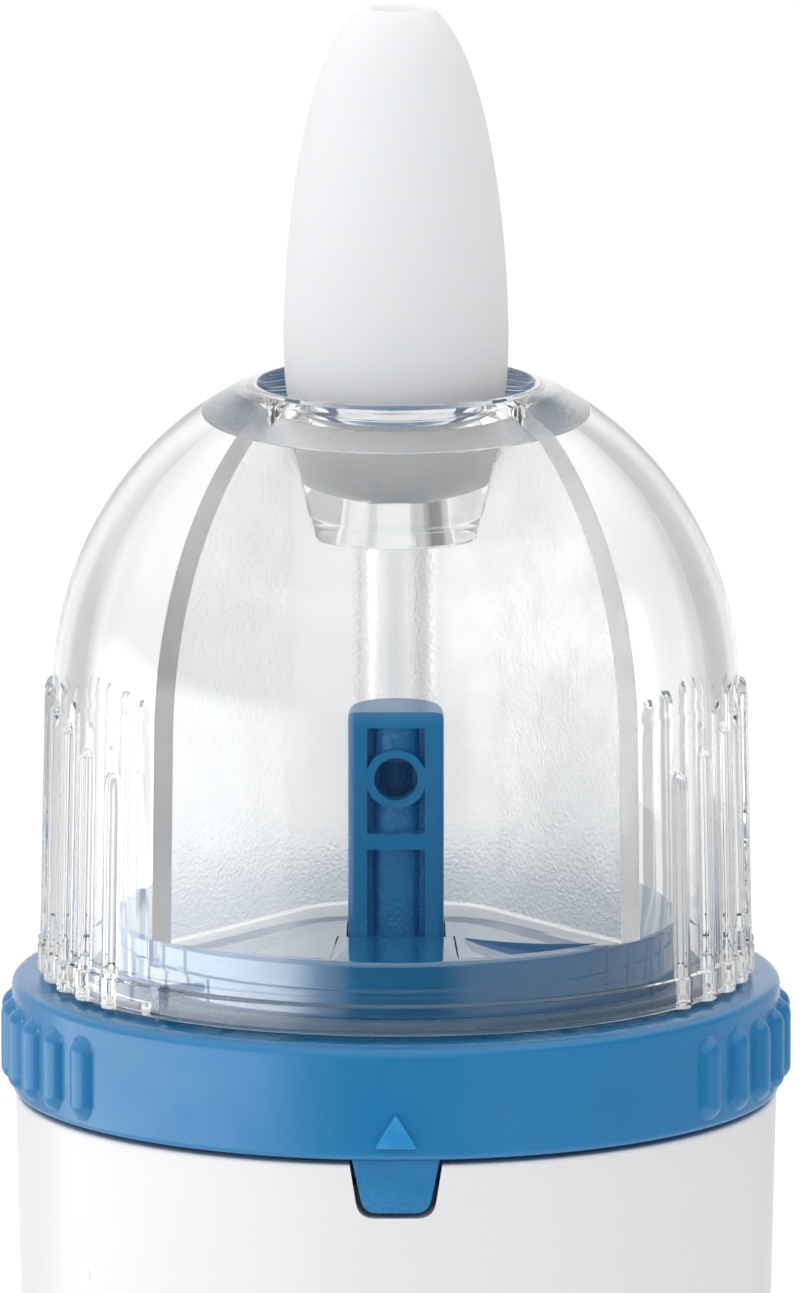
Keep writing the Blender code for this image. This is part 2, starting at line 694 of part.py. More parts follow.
def partition():
    """Upright wall, straight behind the post and swept forward as two straight wings."""
    flat, radius, half, wing, rear = 1.7, 5.2, 0.7, 14.0, -0.9
    lean = math.radians(35.0)
    count = 5
    sweep = [lean + (math.pi / 2 - lean) * step / count for step in range(count + 1)]
    along = Vector((math.sin(lean), -math.cos(lean)))

    def side(offset):
        bend = [(flat + (radius + offset) * math.cos(a),
                 rear - radius + (radius + offset) * math.sin(a)) for a in sweep]
        right = [tuple(Vector(bend[0]) + along * wing)] + bend
        return right + [(-x, y) for x, y in reversed(right)]

    outline = side(half) + list(reversed(side(-half)))
    wall = to_object("partition", prism(outline, 110.0, 150.0))
    middle = DOME_WALL / 2
    mask = [(0.0, 137.4), (4.6, 137.4), (5.0, 138.4), (6.3, 143.3)]
    mask += list(reversed(crown(SHOULDER_RADIUS - middle, INNER_HEIGHT + 0.8, 143.3, 7)))
    mask += [(SKIRT_RADIUS - middle, 115.5), (0.0, 115.5)]
    keep(wall, revolve(mask, DOME_SIDES))
    shape = bmesh.new()
    shape.from_mesh(wall.data)
    bmesh.ops.scale(shape, vec=(1 / MM, 1 / MM, 1 / MM), verts=shape.verts)
    bpy.data.objects.remove(wall, do_unlink=True)
    return shape


def dome_rib(azimuth):
    """One upright grip rib; the row of tops follows an arch over each side."""
    share = abs(90.0 - abs(azimuth)) / 35.5
    top = RING_BOTTOM + 24.0 - 3.5 * share ** 1.4
    return pill(0.65, DOME_BOTTOM + 0.3, top, polar(SKIRT_RADIUS - 0.2, azimuth), lean=0.27)


def bayonet_slot(azimuth):
    """Entry and sideways run, inside the skirt, for one stud of the collector base."""
    inner = SKIRT_RADIUS - DOME_WALL - 0.4
    outer = inner + 1.05

    def sector(start, end, bottom, top):
        count = max(2, int((end - start) / 5.0))
        angles = [start + (end - start) * step / count for step in range(count + 1)]
        points = [polar(outer, a) for a in angles] + [polar(inner, a) for a in reversed(angles)]
        return prism(points, bottom, top)

    reach = STUD_RADIUS + 0.3
    return (sector(azimuth - 2.2, azimuth + 2.2, DOME_BOTTOM - 1.0, STUD_Z + reach),
            sector(azimuth - TWIST - 2.2, azimuth + 2.2, STUD_Z - reach, STUD_Z + reach))


def collector_dome(look):
    dome = part("collector_dome", dome_shell(), look, (0.0, 0.0, DOME_BOTTOM))
    add(dome, partition())
    add(dome, rod(2.3, (0, INLET_Y, INLET_BOTTOM), (0, INLET_Y, 137.5), 18))
    cut(dome, rod(1.4, (0, INLET_Y, INLET_BOTTOM - 2), (0, INLET_Y, 142.0), 14))
    for azimuth in STUD_ANGLES:
        cut(dome, *bayonet_slot(azimuth))
    azimuths = [54.5 + (125.5 - 54.5) * step / 9 for step in range(10)]
    add(dome, together([dome_rib(side * az) for side in (-1, 1) for az in azimuths]))
    return dome


def cup_seal(look):
    return part("cup_seal", tube(17.95, 16.8, 111.3, 111.8, 36), look)


def nose_tip(look):
    """Soft cone with a rounded end; its foot sits in the collector's funnel."""
    count = 8
    length = 19.6
    outline = [(1.35, 140.1), (1.9, 140.1), (2.6, 140.35), (4.0, 141.35), (5.2, 142.75),
               (6.1, 144.2), (6.4, 146.0)]
    for step in range(count + 1):
        rise = (TIP_TOP - TIP_WAIST_Z) * math.sin(math.pi / 2 * step / count)
        radius = TIP_RADIUS * (1.0 - (rise / length) ** 1.95) ** 0.41
        outline.append((radius, TIP_WAIST_Z + rise))
    outline += [(1.35, 166.9), (1.35, 160.0)]
    return part("nose_tip", revolve(outline, 24), look, (0.0, 0.0, 140.1))


def port_seal(look):
    return part("port_seal", tube(3.4, 2.3, 109.7, 112.8, 20, (0.0, POST_Y)), look)


def suction_tube(look):
    return part("suction_tube", tube(2.6, 1.6, 99.1, 105.6, 16, (0.0, POST_Y)), look)


# ---------------------------------------------------------------- assembly

def build():
    clear_scene()
    white = material("handle_white", (0.83, 0.83, 0.85), 0.35)
    button_blue = material("button_blue", (0.03, 0.22, 0.45), 0.35)
    blue = material("collector_blue", (0.03, 0.22, 0.45), 0.3)
    clear = material("clear_plastic", (0.95, 0.97, 1.0), 0.05, transmission=1.0)
    silicone = material("white_silicone", (0.86, 0.86, 0.88), 0.5)
    seal_silicone = material("seal_silicone", (0.8, 0.82, 0.84), 0.5)
    inner_plastic = material("inner_plastic", (0.35, 0.36, 0.38), 0.5)
    black_plastic = material("black_plastic", (0.02, 0.02, 0.02), 0.45)
    pump_plastic = material("pump_plastic", (0.05, 0.05, 0.06), 0.5)
    pump_rubber = material("pump_rubber", (0.03, 0.03, 0.03), 0.7)
    steel = material("steel", (0.6, 0.6, 0.6), 0.3, 1.0)
    copper = material("copper", (0.75, 0.35, 0.2), 0.35, 1.0)
    magnet_grey = material("magnet_grey", (0.08, 0.08, 0.09), 0.6, 0.2)
    board_green = material("board_green", (0.02, 0.2, 0.08), 0.4)
    cell_jacket = material("cell_jacket", (0.1, 0.1, 0.12), 0.3)

    housing_front(white)
    housing_back(white)
    battery_door(white)
    docking_deck(inner_plastic)
    for index, (x, z) in enumerate(SCREW_SITES, 1):
        housing_screw(f"housing_screw_{index}", x, z, steel)

    power_button(button_blue)
    tact_plunger(black_plastic)
    tact_switch(steel)
    circuit_board(board_green)
    board_screw("board_screw_left", -1, steel)
    board_screw("board_screw_right", 1, steel)

    battery_tray(inner_plastic)
    battery("battery_left", -1, 7.3, True, cell_jacket)
    battery("battery_right", 1, 4.1, False, cell_jacket)
    battery_contacts(steel)

    motor_can(steel)
    motor_end_cap(black_plastic)
    magnet("magnet_left", -1, magnet_grey)
    magnet("magnet_right", 1, magnet_grey)
    armature(copper)
    commutator(copper)
    motor_shaft(steel)

    crank_wheel(black_plastic)
    crank_pin(steel)
    wobble_plate(pump_plastic)
    pump_base(pump_plastic)
    diaphragm(pump_rubber)
    valve_plate(pump_plastic)
    umbrella_valve("outlet_valve", (0.0, AXIS_Y), 96.6, 97.1, 2.6, 95.2, pump_rubber)
    for index, angle in enumerate(CUP_ANGLES, 1):
        umbrella_valve(f"inlet_valve_{index}", on_circle(CUP_CIRCLE, angle), 94.2, 94.6, 1.6,
                       96.0, pump_rubber)
    pump_cover(pump_plastic)
    for index, place in enumerate(pump_screw_places(), 1):
        pump_screw(f"pump_screw_{index}", place, steel)
    suction_tube(silicone)

    collector_base(blue)
    vacuum_post(blue)
    port_seal(seal_silicone)
    cup_seal(seal_silicone)
    collector_dome(clear)
    nose_tip(silicone)

    for item in bpy.data.objects:
        item.data.shade_smooth()
        item.data.set_sharp_from_angle(angle=math.radians(32.0))


build()
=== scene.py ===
import json
import math

import bmesh
import bpy
from mathutils import Matrix, Vector


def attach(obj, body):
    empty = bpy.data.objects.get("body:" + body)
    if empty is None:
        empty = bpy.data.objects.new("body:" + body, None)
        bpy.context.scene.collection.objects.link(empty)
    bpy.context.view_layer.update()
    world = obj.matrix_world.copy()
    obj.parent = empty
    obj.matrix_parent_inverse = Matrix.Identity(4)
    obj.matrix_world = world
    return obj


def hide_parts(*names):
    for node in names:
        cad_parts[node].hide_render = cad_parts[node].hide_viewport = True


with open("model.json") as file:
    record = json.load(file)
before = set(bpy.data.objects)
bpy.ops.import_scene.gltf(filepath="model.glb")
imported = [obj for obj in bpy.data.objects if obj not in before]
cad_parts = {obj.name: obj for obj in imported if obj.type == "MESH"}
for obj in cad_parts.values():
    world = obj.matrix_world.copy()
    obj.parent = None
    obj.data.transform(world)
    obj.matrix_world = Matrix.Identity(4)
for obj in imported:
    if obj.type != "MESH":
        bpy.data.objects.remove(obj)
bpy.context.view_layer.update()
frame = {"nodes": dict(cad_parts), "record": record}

# Shapes are drawn in millimetres and stored in metres, in the frame of the CAD part:
# +Z is up, the front is -Y and azimuths are degrees from the front, positive to the right.
MM = 0.001
SHARP = math.radians(34.0)

# Handle
HANDLE_TOP = 104.2
BASE_RADIUS = 19.6
TOP_RADIUS = 22.0
WALL = 1.8
SEAM_GAP = 0.3
SCREW_SITES = ((-15.0, 66.0), (15.0, 66.0), (-15.2, 96.0), (15.2, 96.0))
DOOR_HALF_WIDTH = 13.0
DOOR_BOTTOM = 5.3
DOOR_TOP = 58.0
BUTTON_Z = 79.0
BUTTON_RADIUS = 6.5
BUTTON_AXIS_Y = -17.3

# Collector base
RING_BOTTOM = 104.5
RING_TOP = 111.0
RING_RADIUS = 22.2
RING_RIB = 0.95
MARK_HEIGHT = 0.3
RING_RIB_AZIMUTHS = tuple(range(54, 127, 8))
PLATE_TOP = 115.0
PLATE_RADIUS = 16.5
SEAM_RADIUS = 15.85
STUD_ANGLES = (-46.0, 134.0)
STUD_Z = 112.45
STUD_RADIUS = 0.35
TWIST = 25.0

# Collector dome
DOME_BOTTOM = 111.3
DOME_WALL = 1.9
SKIRT_RADIUS = 20.15
SHOULDER_RADIUS = 19.85
SHOULDER_Z = 127.2
CROWN_HEIGHT = 20.4
INNER_HEIGHT = 18.8
CROWN_POWER = 2.05
NECK_TOP = 145.7
CEILING_Z = 142.75
RIM_Z = 145.35
FUNNEL_BOTTOM = 136.5
INLET_Y = 3.0
INLET_BOTTOM = 126.6
PARTITION_FLAT = 1.7
PARTITION_RADIUS = 5.2
PARTITION_HALF = 0.7
PARTITION_REAR = -0.9
PARTITION_LEAN = math.radians(35.0)
DOME_RIB = 0.65
DOME_RIB_AZIMUTHS = tuple(54.5 + 71.0 * step / 9 for step in range(10))

# Bowl of the neck: (radius, height, fillet) from its floor to its mouth
BOWL = ((0.0, 139.4, 0.0), (1.2, 139.5, 0.6), (2.8, 140.0, 0.8), (4.5, 141.0, 0.9),
        (6.0, 142.5, 1.0), (7.1, 144.2, 1.0), (7.8, RIM_Z, 0.4))

# Vacuum post
POST_Y = -6.6
POST_HALF_WIDTH = 2.7
POST_FRONT = -8.8
POST_WIDEST = -7.9
POST_BACK = -4.5
POST_TOP = 128.0
PORT_Z = 124.2
COLUMN_Y = -6.75
COLUMN_RADIUS = 1.5
POCKET_HALF_WIDTH = 1.6
POCKETS = ((114.9, 120.05), (121.05, 127.1))

# Nose tip
TIP_RADIUS = 6.48
TIP_WAIST_Z = 148.1
TIP_TOP = 167.5
TIP_LENGTH = 20.0
TIP_STRAIGHT = 19.0
TIP_PRESS = 0.03
FOOT_TOP = 144.2


# Studio light: (azimuth, brightness) of the cards just below eye level and of the sides above
# it, then the brightness overhead and far below
CARD_STOPS = ((-180, 1.00), (-160, 1.00), (-150, 0.60), (-140, 0.60), (-128, 0.90), (-112, 3.3),
              (-66, 3.6), (-46, 2.8), (-24, 0.55), (-14, 0.05), (14, 0.05), (32, 0.35),
              (60, 0.40), (90, 0.45), (134, 0.70), (144, 0.55), (156, 0.55), (166, 1.00),
              (180, 1.00))
SIDE_STOPS = ((-180, 1.00), (-160, 1.00), (-150, 0.75), (-140, 0.75), (-128, 0.90),
              (-105, 0.98), (-40, 1.00), (-24, 0.90), (24, 0.80), (36, 0.28), (70, 0.15),
              (110, 0.20), (134, 0.55), (144, 0.60), (156, 0.60), (166, 1.00), (180, 1.00))
TOP_LIGHT = 1.25
LOW_LIGHT = 1.15
LIGHT_STRENGTH = 3.0

# Camera, in metres from the point it looks at, and the floor
CAMERA_AIM = (0.00023, 0.0, 0.1302)
CAMERA_DISTANCE = 1.3
CAMERA_ELEVATION = math.radians(10.4)
LENS = 628.0
SENSOR_WIDTH = 36.0
FLOOR_HALF = 30.0
FLOOR_DROP = 0.00002


# ---------------------------------------------------------------- shapes

def polar(radius, azimuth):
    angle = math.radians(azimuth)
    return radius * math.sin(angle), -radius * math.cos(angle)


def rounded(corners, steps=5, closed=False):
    """An outline of (r, z, fillet) corners, each fillet drawn as a small curve."""
    points = []
    count = len(corners)
    for index, (r, z, fillet) in enumerate(corners):
        here = Vector((r, z))
        at_end = index in (0, count - 1) and not closed
        if not fillet or at_end:
            points.append((r, z))
            continue
        back = Vector(corners[index - 1][:2]) - here
        ahead = Vector(corners[(index + 1) % count][:2]) - here
        start = here + back.normalized() * min(fillet, 0.48 * back.length)
        end = here + ahead.normalized() * min(fillet, 0.48 * ahead.length)
        for step in range(steps + 1):
            t = step / steps
            point = start * (1 - t) ** 2 + here * 2 * t * (1 - t) + end * t * t
            points.append((point.x, point.y))
    return points


def refine(outline, pitch, where):
    """Split the steps of an outline that lie in a region to a pitch."""
    result = [outline[0]]
    for (r0, z0), (r1, z1) in zip(outline, outline[1:]):
        if where(0.5 * (r0 + r1), 0.5 * (z0 + z1)):
            count = max(1, math.ceil(math.hypot(r1 - r0, z1 - z0) / pitch))
        else:
            count = 1
        for step in range(1, count + 1):
            t = step / count
            result.append((r0 + (r1 - r0) * t, z0 + (z1 - z0) * t))
    return result


def even_azimuths(step):
    return [-180.0 + step * index for index in range(round(360.0 / step))]


def grip_azimuths(low, high, fine, coarse):
    """Azimuths all round, closer together over both side grips."""
    def run(start, end, step):
        count = max(1, round((end - start) / step))
        return [start + (end - start) * index / count for index in range(count)]

    return (run(-180.0, -high, coarse) + run(-high, -low, fine) + run(-low, low, coarse)
            + run(low, high, fine) + run(high, 180.0, coarse))


def new_object(name, shape):
    mesh = bpy.data.meshes.new(name)
    shape.to_mesh(mesh)
    shape.free()
    item = bpy.data.objects.new(name, mesh)
    bpy.context.scene.collection.objects.link(item)
    return item


def from_lists(verts, faces):
    """A bmesh of vertices in millimetres, its faces turned outwards."""
    scratch = bpy.data.meshes.new("scratch")
    scratch.from_pydata([tuple(MM * value for value in vert) for vert in verts], [], faces)
    shape = bmesh.new()
    shape.from_mesh(scratch)
    bpy.data.meshes.remove(scratch)
    bmesh.ops.recalc_face_normals(shape, faces=shape.faces)
    return shape


def lathe(outline, azimuths, lift=None, centre=(0.0, 0.0), closed=False):
    """Turn an (r, z) outline about a vertical axis; lift(azimuth, r, z) moves a point outwards."""
    verts = []
    index = []
    on_axis = {}
    for azimuth in azimuths:
        column = []
        for place, (r, z) in enumerate(outline):
            if r < 1e-6 and place in on_axis:
                column.append(on_axis[place])
                continue
            reach = r + (lift(azimuth, r, z) if lift else 0.0)
            x, y = polar(reach, azimuth)
            column.append(len(verts))
            if r < 1e-6:
                on_axis[place] = len(verts)
            verts.append((x + centre[0], y + centre[1], z))
        index.append(column)
    faces = []
    rows = len(outline) if closed else len(outline) - 1
    for here, after in zip(index, index[1:] + index[:1]):
        for row in range(rows):
            above = (row + 1) % len(outline)
            face = []
            for corner in (here[row], after[row], after[above], here[above]):
                if corner not in face:
                    face.append(corner)
            if len(face) > 2:
                faces.append(face)
    return from_lists(verts, faces)


def prism(outline, bottom, top):
    """A closed (x, y) outline raised along Z; bottom and top may be numbers or functions."""
    low = bottom if callable(bottom) else lambda x, y: bottom
    high = top if callable(top) else lambda x, y: top
    count = len(outline)
    verts = [(x, y, low(x, y)) for x, y in outline] + [(x, y, high(x, y)) for x, y in outline]
    faces = [list(range(count)), list(range(count, 2 * count))]
    for index in range(count):
        after = (index + 1) % count
        faces.append([index, after, after + count, index + count])
    return from_lists(verts, faces)


def box(x_range, y_range, z_range):
    outline = [(x_range[0], y_range[0]), (x_range[1], y_range[0]),
               (x_range[1], y_range[1]), (x_range[0], y_range[1])]
    return prism(outline, z_range[0], z_range[1])


def rod(radius, start, end, segments=24, end_radius=None):
    start, end = Vector(start) * MM, Vector(end) * MM
    run = end - start
    turn = run.to_track_quat("Z", "Y").to_matrix().to_4x4()
    shape = bmesh.new()
    last = radius if end_radius is None else end_radius
    bmesh.ops.create_cone(shape, cap_ends=True, segments=segments, radius1=radius * MM,
                          radius2=last * MM, depth=run.length,
                          matrix=Matrix.Translation((start + end) / 2) @ turn)
    return shape


def front_wedge(outline, back, front, spread=1.0):
    """An (x, z) outline carried along Y from back to front, where it may be smaller."""
    middle_x = sum(x for x, z in outline) / len(outline)
    middle_z = sum(z for x, z in outline) / len(outline)
    count = len(outline)
    verts = [(x, back, z) for x, z in outline]
    verts += [(middle_x + (x - middle_x) * spread, front, middle_z + (z - middle_z) * spread)
              for x, z in outline]
    faces = [list(range(count)), list(range(count, 2 * count))]
    for index in range(count):
        after = (index + 1) % count
        faces.append([index, after, after + count, index + count])
    return from_lists(verts, faces)


def ribbon(path, width, bottom, top):
    """A thin upright wall along an (x, y) path."""
    left, right = [], []
    for index, (x, y) in enumerate(path):
        before = Vector(path[max(0, index - 1)])
        after = Vector(path[min(len(path) - 1, index + 1)])
        along = (after - before).normalized()
        side = Vector((-along.y, along.x)) * width / 2
        left.append((x + side.x, y + side.y))
        right.append((x - side.x, y - side.y))
    return prism(left + list(reversed(right)), bottom, top)


def soften(shape, width, segments=3, sharpest=30.0):
    """Round every sharp edge of a bmesh by a width in millimetres."""
    limit = math.radians(sharpest)
    edges = [edge for edge in shape.edges
             if len(edge.link_faces) == 2 and edge.calc_face_angle(0.0) > limit]
    bmesh.ops.bevel(shape, geom=edges, offset=width * MM, segments=segments, profile=0.5,
                    affect="EDGES", clamp_overlap=True)
    return shape


def soften_object(item, width, segments, sharpest):
    shape = bmesh.new()
    shape.from_mesh(item.data)
    soften(shape, width, segments, sharpest)
    shape.to_mesh(item.data)
    shape.free()


def combine(target, operation, *tools):
    """Join shapes to an object, cut them away or keep the common volume."""
    others = []
    for tool in tools:
        other = new_object("tool", tool)
        step = target.modifiers.new("step", "BOOLEAN")
        step.operation = operation
        step.solver = "MANIFOLD"
        step.object = other
        others.append(other)
    ready = target.evaluated_get(bpy.context.evaluated_depsgraph_get())
    mesh = bpy.data.meshes.new_from_object(ready)
    target.modifiers.clear()
    old = target.data
    target.data = mesh
    bpy.data.meshes.remove(old)
    for other in others:
        bpy.data.objects.remove(other, do_unlink=True)


def settle(item, body, slot, nodes, *looks):
    """Shade a finished piece, give it its looks and let it ride on its CAD body."""
    item.data.materials.clear()
    for look in looks:
        item.data.materials.append(look)
    item.data.shade_smooth()
    item.data.set_sharp_from_angle(angle=SHARP)
    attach(item, body)
    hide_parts(*nodes)
    return item


# ---------------------------------------------------------------- materials

class Surface:
    """A Principled material whose fine detail comes from procedural noise."""

    def __init__(self, name, colour, roughness, metallic=0.0):
        self.material = bpy.data.materials.new(name)
        self.material.use_nodes = True
        self.material.diffuse_color = (*colour, 1.0)
        self.tree = self.material.node_tree
        self.shader = self.tree.nodes["Principled BSDF"]
        self.shader.inputs["Base Color"].default_value = (*colour, 1.0)
        self.shader.inputs["Roughness"].default_value = roughness
        self.shader.inputs["Metallic"].default_value = metallic
        self.place = self.tree.nodes.new("ShaderNodeTexCoord")
        self.colour = colour
        self.roughness = roughness
        self.normal = None

    def set(self, socket, value):
        self.shader.inputs[socket].default_value = value
        return self

    def noise(self, per_mm, detail=3.0, rough=0.5, stretch=(1.0, 1.0, 1.0)):
        mapping = self.tree.nodes.new("ShaderNodeMapping")
        mapping.inputs["Scale"].default_value = stretch
        self.tree.links.new(self.place.outputs["Object"], mapping.inputs["Vector"])
        noise = self.tree.nodes.new("ShaderNodeTexNoise")
        noise.inputs["Scale"].default_value = per_mm / MM
        noise.inputs["Detail"].default_value = detail
        noise.inputs["Roughness"].default_value = rough
        self.tree.links.new(mapping.outputs["Vector"], noise.inputs["Vector"])
        return noise

    def worn(self, per_mm, amount):
        """Roughness that drifts about its mean."""
        noise = self.noise(per_mm)
        span = self.tree.nodes.new("ShaderNodeMapRange")
        span.inputs["From Min"].default_value = 0.3
        span.inputs["From Max"].default_value = 0.7
        span.inputs["To Min"].default_value = max(0.0, self.roughness - amount)
        span.inputs["To Max"].default_value = self.roughness + amount
        self.tree.links.new(noise.outputs["Fac"], span.inputs["Value"])
        self.tree.links.new(span.outputs["Result"], self.shader.inputs["Roughness"])
        return self

    def mottled(self, per_mm, amount):
        """Base colour that drifts between a lighter and a darker tone."""
        noise = self.noise(per_mm, detail=4.0)
        ramp = self.tree.nodes.new("ShaderNodeValToRGB")
        ramp.color_ramp.elements[0].position = 0.35
        ramp.color_ramp.elements[1].position = 0.65
        ramp.color_ramp.elements[0].color = (*[c * (1 - amount) for c in self.colour], 1.0)
        ramp.color_ramp.elements[1].color = (*[min(1.0, c * (1 + amount)) for c in self.colour],
                                             1.0)
        self.tree.links.new(noise.outputs["Fac"], ramp.inputs["Fac"])
        self.tree.links.new(ramp.outputs["Color"], self.shader.inputs["Base Color"])
        return self

    def bumped(self, per_mm, height, strength=1.0, detail=2.0, stretch=(1.0, 1.0, 1.0)):
        """Relief of a height in millimetres; calls add up."""
        noise = self.noise(per_mm, detail=detail, stretch=stretch)
        bump = self.tree.nodes.new("ShaderNodeBump")
        bump.inputs["Distance"].default_value = height * MM
        bump.inputs["Strength"].default_value = strength
        self.tree.links.new(noise.outputs["Fac"], bump.inputs["Height"])
        if self.normal is not None:
            self.tree.links.new(self.normal.outputs["Normal"], bump.inputs["Normal"])
        self.tree.links.new(bump.outputs["Normal"], self.shader.inputs["Normal"])
        self.normal = bump
        return self


def make_materials():
    looks = {}
    blue = (0.012, 0.195, 0.440)
    # A lighter copy of the same blue, painted light: it brightens the plate, the post and the
    # ring's raised mark as if more light fell on them.
    painted_lit_blue = (0.020, 0.275, 0.600)
    body = (0.82, 0.825, 0.84)
    looks["handle_white"] = (Surface("handle_white", body, 0.34)
                             .worn(0.08, 0.05).mottled(0.03, 0.008).bumped(1.6, 0.004))
    looks["blue_satin"] = (Surface("blue_satin", blue, 0.24)
                           .worn(0.25, 0.06).mottled(0.12, 0.03).bumped(2.2, 0.010))
    # The plate's gloss and coat are its real finish; its lighter blue is painted light on the
    # plate.
    looks["blue_gloss_painted_lit"] = (Surface("blue_gloss_painted_lit", painted_lit_blue, 0.07).set("IOR", 1.8)
                           .set("Coat Weight", 0.6).set("Coat Roughness", 0.05)
                           .set("Coat IOR", 1.8)
                           .worn(0.3, 0.03).mottled(0.12, 0.02).bumped(0.5, 0.003))
    looks["blue_tab"] = (Surface("blue_tab", blue, 0.32)
                         .worn(0.4, 0.06).mottled(0.5, 0.05).bumped(3.2, 0.05, detail=3.0))
    looks["hazed"] = (Surface("hazed_plastic", (1.0, 1.0, 0.995), 0.33)
                      .set("Transmission Weight", 1.0).set("IOR", 1.53)
                      .worn(0.4, 0.05).bumped(3.0, 0.03, detail=4.0))
    # The post's look: the ring's satin in a lighter blue, painted light on the post.
    looks["blue_post_painted_lit"] = (Surface("blue_post_painted_lit", painted_lit_blue, 0.24)
                          .worn(0.25, 0.06).mottled(0.12, 0.03).bumped(2.2, 0.010))
    # Real grain in the bump; the lighter blue under it is painted light.
    looks["blue_grained_painted_lit"] = (Surface("blue_grained_painted_lit", painted_lit_blue, 0.30)
                             .worn(0.4, 0.06).mottled(0.5, 0.05).bumped(3.2, 0.11, detail=3.0))
    looks["clear"] = (Surface("clear_plastic", (0.975, 0.977, 0.975), 0.015)
                      .set("Transmission Weight", 1.0).set("IOR", 1.53)
                      .worn(0.15, 0.012).bumped(0.14, 0.012, 0.6))
    looks["frosted"] = (Surface("frosted_plastic", (0.998, 0.999, 1.0), 0.2)
                        .set("Transmission Weight", 1.0).set("IOR", 1.53)
                        .worn(0.5, 0.06).bumped(4.5, 0.03, detail=4.0))
    looks["white_silicone"] = (Surface("white_silicone", (0.79, 0.805, 0.825), 0.46)
                               .set("Subsurface Weight", 0.8)
                               .set("Subsurface Radius", (1.0, 0.9, 0.8))
                               .set("Subsurface Scale", 0.006)
                               .worn(0.12, 0.04).mottled(0.05, 0.006).bumped(1.2, 0.006))
    # The tip's foot: a much lighter silicone than the tip, painted light that brightens the foot
    # shaded in the bowl; the deeper subsurface is real translucency.
    looks["foot_silicone_painted_lit"] = (Surface("foot_silicone_painted_lit", (0.97, 0.975, 0.98), 0.3)
                             .set("Subsurface Weight", 1.0)
                             .set("Subsurface Radius", (1.0, 0.95, 0.9))
                             .set("Subsurface Scale", 0.012)
                             .worn(0.12, 0.04).mottled(0.02, 0.004).bumped(1.2, 0.006))
    looks["seal_silicone"] = (Surface("seal_silicone", (0.20, 0.42, 0.62), 0.30)
                              .set("Transmission Weight", 0.4).set("IOR", 1.41)
                              .worn(0.4, 0.08).bumped(2.0, 0.01))
    looks["inner_plastic"] = (Surface("inner_plastic", (0.35, 0.36, 0.38), 0.5)
                              .worn(0.3, 0.08).mottled(0.2, 0.03).bumped(2.4, 0.02))
    looks["black_plastic"] = (Surface("black_plastic", (0.02, 0.02, 0.022), 0.42)
                              .worn(0.4, 0.1).mottled(0.3, 0.1).bumped(2.4, 0.02))
    looks["pump_rubber"] = (Surface("pump_rubber", (0.03, 0.03, 0.03), 0.68)
                            .worn(0.5, 0.1).mottled(0.4, 0.12).bumped(3.0, 0.02))
    looks["steel"] = (Surface("steel", (0.62, 0.62, 0.63), 0.28, 1.0)
                      .worn(0.5, 0.1).bumped(3.0, 0.01, stretch=(1.0, 1.0, 6.0)))
    looks["copper"] = (Surface("copper", (0.75, 0.35, 0.20), 0.33, 1.0)
                       .worn(0.6, 0.1).mottled(0.6, 0.1).bumped(3.0, 0.03,
                                                                stretch=(1.0, 1.0, 4.0)))
    looks["magnet_grey"] = (Surface("magnet_grey", (0.08, 0.08, 0.09), 0.6)
                            .worn(0.6, 0.1).mottled(0.8, 0.15).bumped(3.0, 0.03))
    looks["board_green"] = (Surface("board_green", (0.02, 0.19, 0.08), 0.38)
                            .worn(0.4, 0.08).mottled(0.6, 0.15).bumped(1.5, 0.03))
    looks["cell_jacket"] = (Surface("cell_jacket", (0.09, 0.09, 0.11), 0.26)
                            .worn(0.3, 0.08).mottled(0.1, 0.05).bumped(0.6, 0.02))
    return {name: look.material for name, look in looks.items()}


# ---------------------------------------------------------------- handle

def handle_radius(z):
    return BASE_RADIUS + (TOP_RADIUS - BASE_RADIUS) * z / HANDLE_TOP


def handle_outline():
    floor = 2.0
    corners = [(0.0, 0.0, 0.0), (16.9, 0.0, 0.5), (18.4, 0.5, 1.0), (19.35, 1.7, 1.2),
               (handle_radius(4.2), 4.2, 1.0), (TOP_RADIUS, HANDLE_TOP, 0.25),
               (TOP_RADIUS - WALL, HANDLE_TOP, 0.2), (handle_radius(3.8) - WALL, 3.8, 1.2),
               (16.4, floor, 0.8), (0.0, floor, 0.0)]
    return rounded(corners, 5)


def handle_shell():
    return lathe(handle_outline(), even_azimuths(2.5))


def tab_outline(half_top, half_bottom, top, bottom, fillet):
    corners = [(-half_top, top, 0.0), (half_top, top, 0.0), (half_bottom, bottom, fillet),
               (-half_bottom, bottom, fillet)]
    return rounded(corners, 5, closed=True)


def housing_front(look):
    shell = new_object("shell_front", handle_shell())
    combine(shell, "INTERSECT", box((-30, 30), (-30, -SEAM_GAP / 2), (-5, 120)))
    for x, z in SCREW_SITES:
        reach = -math.sqrt((handle_radius(z) - 0.9) ** 2 - (abs(x) + 1.2) ** 2)
        combine(shell, "UNION", rod(2.4, (x, reach, z), (x, -0.4, z)))
        combine(shell, "DIFFERENCE", rod(1.2, (x, -9.5, z), (x, 3.0, z)))
    notch = tab_outline(2.85, 2.15, RING_BOTTOM + 1, RING_BOTTOM - 3.4, 0.9)
    combine(shell, "DIFFERENCE",
            rod(BUTTON_RADIUS + 0.3, (0, -25, BUTTON_Z), (0, -12, BUTTON_Z), 72),
            rod(BUTTON_RADIUS + 1.4, (0, -23.5, BUTTON_Z), (0, -20.6, BUTTON_Z), 72,
                BUTTON_RADIUS + 0.1),
            front_wedge(notch, -16, -24))
    return settle(shell, "handle", "handle_white", ["housing_front"], look)


